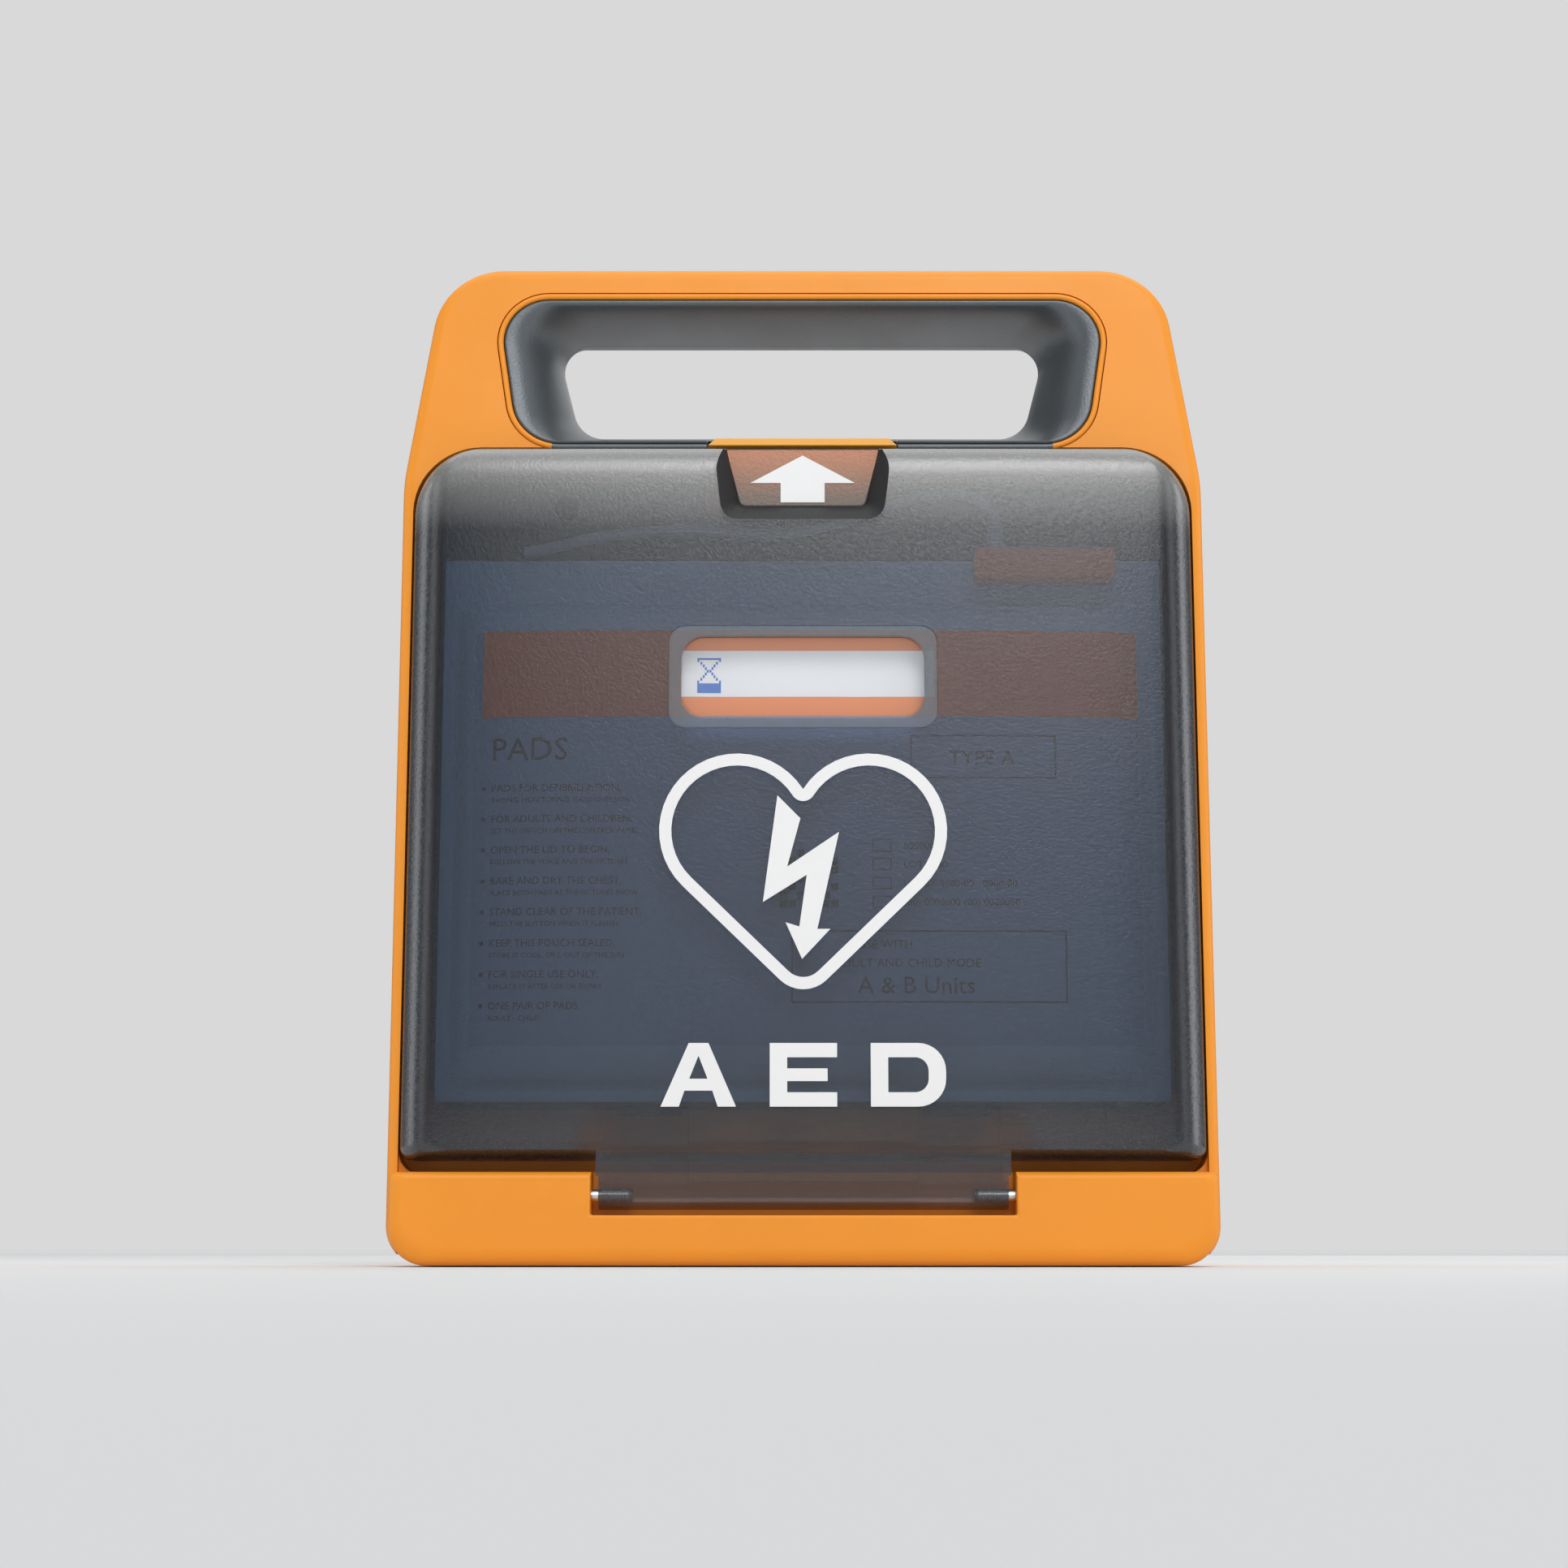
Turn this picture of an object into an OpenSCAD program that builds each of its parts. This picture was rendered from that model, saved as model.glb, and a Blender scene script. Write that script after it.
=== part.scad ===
// Portable automated defibrillator, standing upright on its base.
// X runs to the right, the front faces -Y and Z is up.
// The origin is the middle of the footprint, at table height.

/* [Case] */
// Width of the case at its widest
case_w = 213; // [205:1:225]
// Height of the case, up to the top of the carrying handle
case_h = 267; // [262:1:280]
// Height at which the sides start to lean in towards the handle
shoulder_z = 206; // [204:1:208]
// Depth from the middle parting line to the front of the foot strip
front_depth = 39; // [38:0.5:42]
// Depth from the middle parting line to the rear bumpers
rear_depth = 39; // [38:0.5:44]
// Wall thickness of the two orange shells
case_wall = 2.6; // [2:0.1:3]
// Height of the foot strip under the lid
strip_h = 23.3; // [23:0.1:24]

/* [Handle] */
// Width of the grip opening at its narrowest
throat_w = 137; // [120:1:140]
// Top of the grip opening
throat_top = 253.6; // [250:0.1:254]
// Bottom of the grip opening
throat_low = 226.5; // [225:0.1:230]
// Distance of the handle's rear face behind the parting line
handle_rear = 13; // [12:0.5:16]
// Lean of the handle's front face, in degrees
handle_lean = 4; // [2:0.5:5]

/* [Lid] */
// Width of the lid
lid_w = 206; // [203:0.2:206.2]
// Lower edge of the lid
lid_low = 26.6; // [26:0.1:27]
// Upper edge of the lid
lid_top = 212.7; // [211:0.1:213]
// Distance of the lid's outer face in front of the parting line
lid_front = 37; // [36:0.1:37.5]
// Wall thickness of the lid
lid_wall = 2.4; // [2:0.1:2.6]

/* [Hinge] */
// Height of the hinge axis
hinge_z = 17.4; // [17:0.1:18]
// Distance of the hinge axis in front of the parting line
hinge_y = 33.4; // [33:0.1:33.6]
// Outer radius of the lid's hinge barrel
barrel_r = 3.55; // [3.2:0.05:3.6]
// Radius of the steel hinge pins
pin_r = 1.6; // [1.4:0.1:1.8]
// Half length of the hinge barrel
barrel_half = 51.5; // [50:0.5:52]

/* [Controls] */
// Radius of the shock button
shock_r = 15; // [12:0.5:16]
// Radius of the language button
info_r = 6; // [5:0.5:7]

/* [Battery] */
// Width of the battery pack
battery_w = 111.4; // [100:0.2:111.4]
// Height of the battery pack
battery_h = 63.4; // [50:0.2:63.4]

/* [Hidden] */

$fn = 64;
half_w = case_w / 2;
skin = 0.02;
cut = 0.1;
lid_back = -14.4;
flange_front = -14;
panel_front = -17;
panel_back = -14.1;
board_front = -7;
board_back = -5.4;
web_z = 214.2;
handle_front = -26;
side_lean = 9.2;
throat_y = 4;
window_z = 150.25;
shock_pos = [50, 92];
info_pos = [-70, 150];
switch_pos = [-66, 92];
speaker_pos = [0, 92];
latch_half = 25;
rear_face = rear_depth - 0.8;
bay = [battery_w + 0.6, battery_h + 0.6];
bay_low = 22;
bay_front = 14;
screw_spots = [[-94, 15], [94, 15], [-94, 120], [94, 120], [-94, 186], [94, 186], [-91.5, 236], [91.5, 236]];
board_spots = [[-81, 56], [81, 56], [-81, 193], [81, 193]];
panel_spots = [[-92.5, 44], [92.5, 44], [-92.5, 204], [92.5, 204]];
bumper_spots = [[-80, 104], [80, 104], [-80, 184], [80, 184]];
battery_low = bay_low + 0.3;
plug_box = [[45.3, -31, 178], [82.3, -23.4, 186.3]];
strain_x = 51;
cable_r = 1.5;
cable_route = [
    [-74, -24.8, 186.4], [-70, -24, 187.2], [-64, -23.4, 188.8], [-56, -22.8, 190.8], [-47, -22.5, 192.2],
    [-38, -22.4, 193], [-28, -22.5, 193.2], [-18, -22.8, 192.6], [-8, -23.2, 192], [2, -23.6, 193],
    [11, -24, 195.4], [19, -24.4, 198.2], [27, -24.9, 200.6], [34, -25.4, 201.9], [41, -26, 202],
    [46, -26.6, 200.6], [49.2, -27, 198.2], [51, -27.2, 196], [51, -27.2, 194.2]
];
orange = [0.96, 0.56, 0.14];
charcoal = [0.17, 0.18, 0.19];

// ---- Outlines, drawn in the X-Z plane ----

function unit(v) = v / norm(v);

function mix(a, b, t) = a * (1 - t) + b * t;

// Arc that rounds the corner at p, between the neighbours a and b, moved in by inset.
function corner_arc(a, p, b, r, inset, steps) =
    let(
        back = unit(a - p),
        ahead = unit(b - p),
        half = acos(back * ahead) / 2,
        centre = p + unit(back + ahead) * r / sin(half),
        first = atan2(back[0], -back[1]),
        last = atan2(-ahead[0], ahead[1]),
        sweep = (last - first + 720) % 360
    )
    [for (i = [0:steps]) let(turn = first + sweep * i / steps) centre + (r - inset) * [cos(turn), sin(turn)]];

// Polygon with rounded corners, counted anticlockwise.
function rounded(corners, radii, inset = 0, steps = 8) =
    let(n = len(corners))
    [for (i = [0:n - 1])
        each corner_arc(corners[(i + n - 1) % n], corners[i], corners[(i + 1) % n], radii[i], inset, steps)];

// Four corners of a shape that mirrors about the middle: bottom edge, then top edge.
function pairs(low_half, low, top_half, top) =
    [[-low_half, low], [low_half, low], [top_half, top], [-top_half, top]];

function box_points(half, low, top, r) = rounded(pairs(half, low, half, top), [r, r, r, r]);

// Whole case: upright sides, a soft shoulder and sides that lean in to the handle.
function body_points(inset = 0, low = 0) = rounded(
    [[-half_w, low - inset], [half_w, low - inset], [half_w, shoulder_z],
        [half_w - side_lean, case_h], [side_lean - half_w, case_h], [-half_w, shoulder_z]],
    [10, 10, 60, 19, 19, 60], inset);

// Upper part of the case, from a given height above the shoulder up to the top of the handle.
function upper_points(inset, low) = rounded(
    pairs(half_w - side_lean * (low - shoulder_z) / (case_h - shoulder_z), low - inset,
        half_w - side_lean, case_h),
    [inset + 0.2, inset + 0.2, 19, 19], inset);

// Lower part of the case, up to the shoulder.
function lower_points(inset) = rounded(
    pairs(half_w, -inset, half_w, shoulder_z), [10, 10, inset + 0.2, inset + 0.2], inset);

// Deep rear part of the case, up to a given height.
function rear_points(inset, low, top) = rounded(
    pairs(half_w, low - inset, half_w, top + inset), [inset + 9, inset + 9, inset + 16, inset + 16], inset);

function strip_points(side, low, high) = rounded(
    pairs(half_w - side, low, half_w - side, high), [10, 10, 2, 2]);

// Grip opening, from its rim (t = 0) to its throat (t = 1), grown by grow. The lower edge has its own share.
function grip_points(t, grow = 0, low = undef) =
    let(rim = pairs(76, 216.5, 82.5, 257.8),
        throat = pairs(throat_w / 2 - 7, throat_low, throat_w / 2, throat_top),
        share = is_undef(low) ? t : low)
    rounded(
        [for (i = [0:3]) [mix(rim[i][0], throat[i][0], t), mix(rim[i][1], throat[i][1], i < 2 ? share : t)]],
        [for (i = [0:3]) mix([13, 13, 12, 12][i], [8.5, 8.5, 8, 8][i], t)], -grow);

function lid_points(inset = 0, low = 0) = rounded(
    pairs(lid_w / 2, lid_low + low - inset, lid_w / 2, lid_top),
    [inset + 3, inset + 3, 18, 18], inset);

// Room that the closed lid takes up in the front of the case.
function lid_bay_points() = rounded(
    pairs(lid_w / 2 + 0.5, -20, lid_w / 2 + 0.5, web_z), [3, 3, 18, 18]);

// ---- Building blocks ----

// Upright plate between two depths, with its outline in the X-Z plane.
module slab(front, back) {
    translate([0, back, 0]) rotate([90, 0, 0]) linear_extrude(back - front) children();
}

// Smooth solid through a list of [depth, outline] layers.
module loft(layers) {
    hull() {
        for (layer = layers) {
            slab(layer[0], layer[0] + skin) polygon(layer[1]);
        }
    }
}

// Leans its children back about the lower edge of the handle's front face.
module leaned() {
    translate([0, handle_front, shoulder_z]) rotate([-handle_lean, 0, 0])
        translate([0, -handle_front, -shoulder_z]) children();
}

// Cylinder along the depth, at a place given in the X-Z plane.
module peg(spot, r, front, back) {
    translate([spot[0], back, spot[1]]) rotate([90, 0, 0]) cylinder(r = r, h = back - front);
}

// Block from one corner to the opposite one.
module block(low, high) {
    translate(low) cube(high - low);
}

// Coil spring along Z, standing on the origin.
module coil_spring(r, wire, height, turns) {
    sides = 6;
    per_turn = 12;
    steps = turns * per_turn;
    rings = [for (i = [0:steps]) [for (k = [0:sides - 1])
        let(a = i * 360 / per_turn, b = k * 360 / sides, reach = r + wire * cos(b))
        [reach * cos(a), reach * sin(a), wire + (height - 2 * wire) * i / steps + wire * sin(b)]]];
    walls = [for (i = [0:steps - 1]) for (k = [0:sides - 1])
        [i * sides + k, i * sides + (k + 1) % sides, (i + 1) * sides + (k + 1) % sides, (i + 1) * sides + k]];
    start_cap = [[for (k = [sides - 1:-1:0]) k]];
    end_cap = [[for (k = [0:sides - 1]) steps * sides + k]];
    points = [for (ring = rings) each ring];
    polyhedron(points = points, faces = concat(walls, start_cap, end_cap), convexity = 8);
}

// ---- Case ----

module front_outer() {
    loft([[-front_depth, strip_points(5.8, 4.2, strip_h - 1.8)],
        [-38.2, strip_points(4, 1.8, strip_h - 0.6)],
        [-36.4, strip_points(2.8, 0.4, strip_h)],
        [-33, strip_points(2, 0, strip_h)],
        [-24, strip_points(0.5, 0, strip_h)], [-12, strip_points(0.2, 0, strip_h)]]);
    difference() {
        hull() {
            leaned() slab(handle_front, handle_front + skin) polygon(upper_points(4, shoulder_z));
            leaned() slab(-24.8, -24.8 + skin) polygon(upper_points(1.6, shoulder_z));
            leaned() slab(-22.6, -22.6 + skin) polygon(upper_points(0.3, shoulder_z));
            slab(handle_front, handle_front + skin) polygon(lower_points(4));
            slab(-24.8, -24.8 + skin) polygon(lower_points(1.6));
            slab(-22.6, -22.6 + skin) polygon(lower_points(0.3));
            slab(-17, -skin) polygon(body_points());
        }
        slab(-40, flange_front) polygon(lid_bay_points());
    }
}

// Hollow of the front shell, less the ribs and bosses that stay standing in it.
module front_hollow() {
    difference() {
        union() {
            slab(flange_front + case_wall, cut) polygon(body_points(case_wall, case_wall));
            slab(-front_depth + case_wall, cut)
                polygon(strip_points(case_wall + 2.8, case_wall, strip_h - case_wall));
            slab(-19.5, cut) polygon(upper_points(case_wall, web_z + case_wall));
        }
        slab(-30, cut * 2) polygon(grip_points(0, 2.4));
        block([-65, -front_depth, 10], [65, -26.2, strip_h + 1]);
        for (spot = screw_spots) {
            peg(spot, 4.4, -front_depth, cut * 2);
        }
    }
}

module front_frame() {
    color(orange) difference() {
        front_outer();
        front_hollow();
        slab(-30, 1) polygon(grip_points(0, 0.2));
        slab(-30, -11) polygon(box_points(92, 46, 197, 5));
        block([-53.3, -front_depth - 1, 12.5], [53.3, -28.6, strip_h + 1]);
        translate([-63, -hinge_y, hinge_z]) rotate([0, 90, 0]) cylinder(r = pin_r + 0.02, h = 126);
        // Way through the web and the wall for the latch slider.
        block([-25.6, -30, web_z - 1], [25.6, -10.2, 221]);
        block([-12.4, -20, 198.6], [12.4, -10.2, web_z + 1]);
        block([-5.4, -11, 198.6], [5.4, 1, 212.6]);
        for (spot = screw_spots) {
            peg(spot, 1.55, -9, 1);
        }
        for (spot = panel_spots) {
            peg(spot, 1.25, -15, -12);
        }
    }
}

module rear_shell() {
    color(orange) difference() {
        union() {
            loft([[0, body_points()], [8, body_points(0.2)], [11.6, body_points(1.4)],
                [handle_rear, body_points(3.8)]]);
            loft([[0, rear_points(0, 0, 212)], [20, rear_points(0.4, 0, 212)],
                [31, rear_points(1.8, 0.5, 207)], [36, rear_points(4.4, 3, 201)],
                [rear_face - skin, rear_points(8, 6.5, 196)]]);
        }
        difference() {
            union() {
                slab(-cut, 10.4) polygon(body_points(2.8, case_wall));
                loft([[-cut, rear_points(2.8, 2.8, 209)], [20, rear_points(3.2, 2.8, 209)],
                    [29.5, rear_points(4.8, 3.6, 204)], [35.4, rear_points(9, 7, 198)]]);
            }
            slab(-cut * 2, handle_rear) polygon(grip_points(0, 2.4));
            slab(bay_front - 2, rear_depth)
                polygon(box_points(bay[0] / 2 + 2, bay_low - 2, bay_low + bay[1] + 2, 3));
            block([-12.2, 29.4, 86], [12.2, rear_depth, 103.2]);
            for (spot = screw_spots) {
                peg(spot, 5.2, -cut * 2, rear_depth);
            }
        }
        slab(-1, handle_rear + 1) polygon(grip_points(0, 0.2));
        slab(bay_front, rear_depth + 1) polygon(box_points(bay[0] / 2, bay_low, bay_low + bay[1], 2));
        block([-10, 31.4, 88.6], [10, rear_depth + 1, 101]);
        block([-30, 9, 80], [30, bay_front + 1, 83]);
        for (spot = screw_spots) {
            peg(spot, 3.3, 5, rear_depth + 1);
            peg(spot, 1.7, -1, 6);
        }
        for (spot = bumper_spots) {
            peg(spot, 6.1, rear_face - 1.2, rear_depth + 1);
        }
        slab(rear_face - 0.4, rear_depth + 1) polygon(box_points(45.2, 123.8, 172.2, 3));
    }
}

// Soft ring that lies just inside the parting line of the two shells.
module case_seal() {
    color([0.1, 0.1, 0.1]) slab(-0.9, 0.9) difference() {
        polygon(body_points(2.9, 2.9));
        polygon(body_points(4.3, 4.3));
    }
}

module grip_insert_front() {
    color(charcoal) difference() {
        hull() {
            leaned() slab(handle_front - 0.3, handle_front - 0.3 + skin) polygon(grip_points(0));
            slab(-19, -19 + skin) polygon(grip_points(0.08));
            slab(throat_y - skin, throat_y) polygon(grip_points(1, 2.2));
        }
        hull() {
            leaned() slab(handle_front - 1, handle_front - 1 + skin) polygon(grip_points(0, -0.9));
            slab(-21, -21 + skin) polygon(grip_points(0.5, 0, 0.17));
        }
        loft([[-21, grip_points(0.5, 0, 0.17)], [-14, grip_points(0.82, 0, 0.4)]]);
        loft([[-14, grip_points(0.82, 0, 0.4)], [-4, grip_points(0.98, 0, 0.73)]]);
        loft([[-4, grip_points(0.98, 0, 0.73)], [throat_y + 1, grip_points(1)]]);
        block([-25.6, -32, web_z - 2], [25.6, -10.2, 221]);
    }
}

module grip_insert_rear() {
    color(charcoal) difference() {
        loft([[throat_y, grip_points(1, 2.2)], [8, grip_points(0.1)],
            [handle_rear + 0.3 - skin, grip_points(0)]]);
        loft([[throat_y - 1, grip_points(1)], [8, grip_points(0.86, 0, 0.56)]]);
        loft([[8 - skin, grip_points(0.86, 0, 0.56)], [11, grip_points(0.6, 0, 0.22)]]);
        loft([[11 - skin, grip_points(0.6, 0, 0.22)], [handle_rear + 1, grip_points(0, -0.9)]]);
    }
}

module hinge_pins() {
    color("silver") for (side = [0, 1]) mirror([side, 0, 0])
        translate([44, -hinge_y, hinge_z]) rotate([0, 90, 0]) cylinder(r = pin_r, h = 18.6);
}

module case_screws() {
    color("silver") for (spot = screw_spots) difference() {
        union() {
            peg(spot, 3, 5, 7.6);
            peg(spot, 1.5, -8, 5);
        }
        translate([spot[0], 8, spot[1]]) rotate([90, 0, 0]) cylinder(r = 1.3, h = 1.8, $fn = 6);
    }
}

module rear_bumpers() {
    color([0.12, 0.12, 0.12]) for (spot = bumper_spots) {
        peg(spot, 6, rear_face - 1.2, rear_depth - 0.4);
        peg(spot, 5.4, rear_depth - 0.4, rear_depth);
    }
}

module rating_plate() {
    color("white") slab(rear_face - 0.4, rear_face - 0.05) polygon(box_points(45, 124, 172, 2.8));
}

// ---- Control panel behind the lid ----

module panel_plate() {
    color([0.27, 0.29, 0.32]) difference() {
        union() {
            slab(panel_front, panel_back) polygon(box_points(97, 40, 208, 7.5));
            for (spot = board_spots) {
                peg(spot, 3, panel_back - cut, board_front);
            }
        }
        peg(shock_pos, shock_r + 0.3, panel_front - 1, panel_back + 1);
        peg(info_pos, info_r + 0.3, panel_front - 1, panel_back + 1);
        peg(speaker_pos, 15, panel_front - 1, panel_back + 1);
        peg([-84, 120], 3.1, panel_front - 1, panel_back + 1);
        peg([84, 120], 1.2, panel_front - 1, panel_back + 1);
        block([switch_pos[0] - 12, panel_front - 1, 88], [switch_pos[0] + 12, panel_back + 1, 96]);
        block([-26.2, panel_front - 1, 198.6], [26.2, panel_back + 1, 210]);
        slab(panel_front - 1, panel_front + 0.5) polygon(box_points(88, 64, 176, 4));
        for (spot = board_spots) {
            peg(spot, 1.05, -12, board_front + 1);
        }
        for (spot = panel_spots) {
            peg(spot, 1.4, panel_front - 1, panel_back + 1);
            peg(spot, 2.3, panel_front - 1, panel_front + 1);
        }
    }
}

// Printed film with the operating steps, let into the panel.
module panel_overlay() {
    color([0.86, 0.88, 0.9]) slab(panel_front + 0.1, panel_front + 0.5) difference() {
        polygon(box_points(87.8, 64.2, 175.8, 3.8));
        translate(shock_pos) circle(r = shock_r + 1.5);
        translate(info_pos) circle(r = info_r + 1);
        translate(speaker_pos) circle(r = 17);
        translate([-84, 120]) circle(r = 3.6);
        translate([84, 120]) circle(r = 1.6);
        translate([switch_pos[0] - 13, 87]) square([26, 10]);
    }
}

module panel_screws() {
    color("silver") for (spot = panel_spots) {
        peg(spot, 2.2, panel_front - 0.2, panel_front + 1);
        peg(spot, 1.2, panel_front + 1, -12.2);
    }
}

module status_lens() {
    color([0.3, 0.9, 0.4]) {
        peg([-84, 120], 3, panel_front - 0.4, panel_back);
        peg([-84, 120], 4, panel_back, panel_back + 1);
    }
}

module speaker_grille() {
    color([0.2, 0.21, 0.22]) difference() {
        peg(speaker_pos, 14.9, panel_front - 0.3, panel_front + 1.2);
        for (ring = [1:3], step = [0:ring * 6 - 1]) {
            peg(speaker_pos + ring * 3.8 * [cos(step * 60 / ring), sin(step * 60 / ring)], 1,
                panel_front - 1, panel_front + 2);
        }
        peg(speaker_pos, 1, panel_front - 1, panel_front + 2);
    }
}

module speaker() {
    color([0.35, 0.35, 0.36]) {
        peg(speaker_pos, 18, panel_back, panel_back + 3);
        peg(speaker_pos, 12, panel_back + 3, board_front - 0.4);
    }
}

module microphone() {
    color([0.2, 0.2, 0.2]) peg([84, 120], 3, panel_back, panel_back + 3);
}

// ---- Electrode pads and their lead ----

module pads_socket() {
    color([0.14, 0.15, 0.17]) difference() {
        slab(-31.6, panel_front)
            polygon(rounded([[56, 186.5], [83, 186.5], [83, 197], [56, 197]], [1, 1, 3, 3]));
        block([60.7, -28.7, 186], [77.3, -24.3, 192.3]);
    }
}

module pads_plug() {
    color([0.78, 0.36, 0.12]) {
        slab(plug_box[0][1], plug_box[1][1]) polygon(rounded(
            [[45.3, 178], [82.3, 178], [82.3, 186.3], [45.3, 186.3]], [1.4, 1.4, 1.4, 1.4]));
        block([61, -28.4, 186.2], [77, -24.6, 192]);
    }
}

module plug_strain_relief() {
    color([0.4, 0.47, 0.58]) translate([strain_x, -27.2, plug_box[1][2]]) rotate_extrude()
        polygon([[0, 0], [3.2, 0], [3.2, 1.6], [2.2, 7.9], [0, 7.9]]);
}

// Tube that follows the lead's route.
module pads_cable() {
    sides = 8;
    count = len(cable_route);
    function ahead(i) = unit(cable_route[min(i + 1, count - 1)] - cable_route[max(i - 1, 0)]);
    rings = [for (i = [0:count - 1])
        let(side = unit(cross(ahead(i), [0, 1, 0])), up = cross(side, ahead(i)))
        [for (k = [0:sides - 1]) cable_route[i]
            + cable_r * (side * cos(k * 360 / sides) + up * sin(k * 360 / sides))]];
    walls = [for (i = [0:count - 2]) for (k = [0:sides - 1])
        [i * sides + (k + 1) % sides, i * sides + k, (i + 1) * sides + k, (i + 1) * sides + (k + 1) % sides]];
    start_cap = [[for (k = [0:sides - 1]) k]];
    end_cap = [[for (k = [sides - 1:-1:0]) (count - 1) * sides + k]];
    color([0.4, 0.47, 0.58]) polyhedron(
        points = [for (ring = rings) each ring], faces = concat(walls, start_cap, end_cap), convexity = 6);
}

module cable_clips() {
    color(charcoal) for (spot = [[-38, 193], [27, 200.6]]) difference() {
        slab(-24.2, panel_front) translate(spot) square([4, 7], center = true);
        slab(-27, -20) translate(spot) square([6, 4.4], center = true);
    }
}

// Sealed pouch that holds the two electrode pads.
module pads_packet() {
    color([0.45, 0.52, 0.62]) {
        loft([[-30.4, box_points(84, 56, 164, 8)], [-28.6, box_points(90, 48, 172, 6)],
            [-24, box_points(91, 46, 174, 6)], [-21.4, box_points(86, 52, 168, 6)]]);
        slab(-23, -22) polygon(box_points(94.8, 41.5, 184.6, 2));
    }
}

// Two lugs that carry the packet's lower edge.
module packet_lugs() {
    color(charcoal) for (side = [0, 1]) mirror([side, 0, 0]) block([31, -26, 38.2], [48, panel_front, 41.2]);
}

// ---- Electronics ----

module main_board() {
    color([0.1, 0.4, 0.25]) slab(board_front, board_back) difference() {
        polygon(box_points(86, 50, 198, 3));
        for (spot = board_spots) {
            translate(spot) circle(r = 1.3);
        }
    }
}

module board_screws() {
    color("silver") for (spot = board_spots) {
        peg(spot, 2.2, board_back, board_back + 1.6);
        peg(spot, 1, -11.6, board_back);
    }
}

module board_chips() {
    color([0.12, 0.12, 0.13]) {
        block([-12, board_back, 156], [12, -3.6, 180]);
        block([-44, board_back, 158], [-28, -3.8, 170]);
        block([26, board_back, 172], [46, -3.8, 182]);
        block([-50, board_back, 62], [-30, -2, 76]);
        block([30, board_back, 62], [44, -2.4, 74]);
    }
}

module hv_capacitor() {
    color([0.2, 0.3, 0.55]) {
        translate([-86, 10.2, 112]) rotate([0, 90, 0]) cylinder(r = 15.5, h = 66);
        block([-83, board_back, 103], [-23, -3, 121]);
    }
}

module transformer() {
    color([0.55, 0.5, 0.3]) {
        block([8, board_back, 100], [42, 18, 134]);
        block([12, board_back, 96], [38, 14, 138]);
    }
}

module inductor() {
    color([0.7, 0.4, 0.2]) translate([66, board_back, 118]) rotate([-90, 0, 0])
        rotate_extrude() translate([11, 5]) circle(r = 5);
}

module relays() {
    color([0.85, 0.85, 0.82]) for (i = [0:2]) {
        block([-76 + i * 26, board_back, 140], [-56 + i * 26, 10, 152]);
    }
}

module reed_switch() {
    color([0.7, 0.75, 0.7]) translate([-69, board_front - 1.4, 196]) rotate([0, 90, 0])
        cylinder(r = 1.4, h = 14);
}

module battery_contacts() {
    color([0.85, 0.7, 0.3]) for (i = [0:3]) {
        block([-25 + i * 15, 10, 80.4], [-20 + i * 15, bay_front + 0.2, 82.6]);
    }
}

// ---- Lid ----

function lid_recess(grow) = pairs(16.5 + grow, 196.9 - grow, 20.8 + grow, 213.5);

module lid_shell() {
    outer = [[-lid_front, 10, 2.2], [1.0 - lid_front, 5.6, 1], [2.8 - lid_front, 2.6, 0.4],
        [6 - lid_front, 0.9, 0], [11 - lid_front, 0.2, 0], [lid_back - skin, 0, 0]];
    color([0.3, 0.33, 0.38, 0.6]) difference() {
        union() {
            difference() {
                loft([for (layer = outer) [layer[0], lid_points(layer[1], layer[2])]]);
                difference() {
                    loft([for (layer = outer) [layer[0] + lid_wall,
                        lid_points(layer[1] + lid_wall, layer[2] + lid_wall)]]);
                    // Back wall of the lifting recess.
                    slab(-lid_front, -30) polygon(lid_recess(2.4));
                }
            }
            // Hinge tab, its two ribs and the barrel.
            block([-52.2, -36.95, hinge_z], [52.2, -34.55, 30]);
            for (side = [0, 1]) mirror([side, 0, 0]) block([29, -35, 20.2], [50, -31.4, 40]);
            translate([-barrel_half, -hinge_y, hinge_z]) rotate([0, 90, 0])
                cylinder(r = barrel_r, h = 2 * barrel_half);
        }
        slab(-lid_front - 1, -32.4) polygon(lid_recess(0));
        slab(-lid_front - 1, -30) polygon(box_points(31.6, window_z - 10.8, window_z + 10.8, 6));
        for (side = [0, 1]) mirror([side, 0, 0]) translate([43, -hinge_y, hinge_z])
            rotate([0, 90, 0]) cylinder(r = pin_r + 0.05, h = 12);
        for (side = [-1, 1]) block([side * 52.2 - 0.7, -40, 10], [side * 52.2 + 0.7, -28, 22]);
    }
}

module lid_window() {
    color([0.85, 0.9, 0.95, 0.4]) {
        slab(lid_wall - lid_front, lid_wall - lid_front + 1.2)
            polygon(box_points(34.9, window_z - 13.6, window_z + 13.6, 4.5));
        slab(0.4 - lid_front, lid_wall - lid_front)
            polygon(box_points(31.4, window_z - 10.6, window_z + 10.6, 5.8));
    }
}

module lid_magnet() {
    color("silver") peg([-62, 196], 3, lid_wall - lid_front, -31.6);
}

module lift_arrow() {
    color("white") slab(-32.7, -32.4)
        polygon([[0, 210.8], [-13.8, 203.3], [-5.8, 203.3], [-5.8, 198],
            [5.8, 198], [5.8, 203.3], [13.8, 203.3]]);
}

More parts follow.
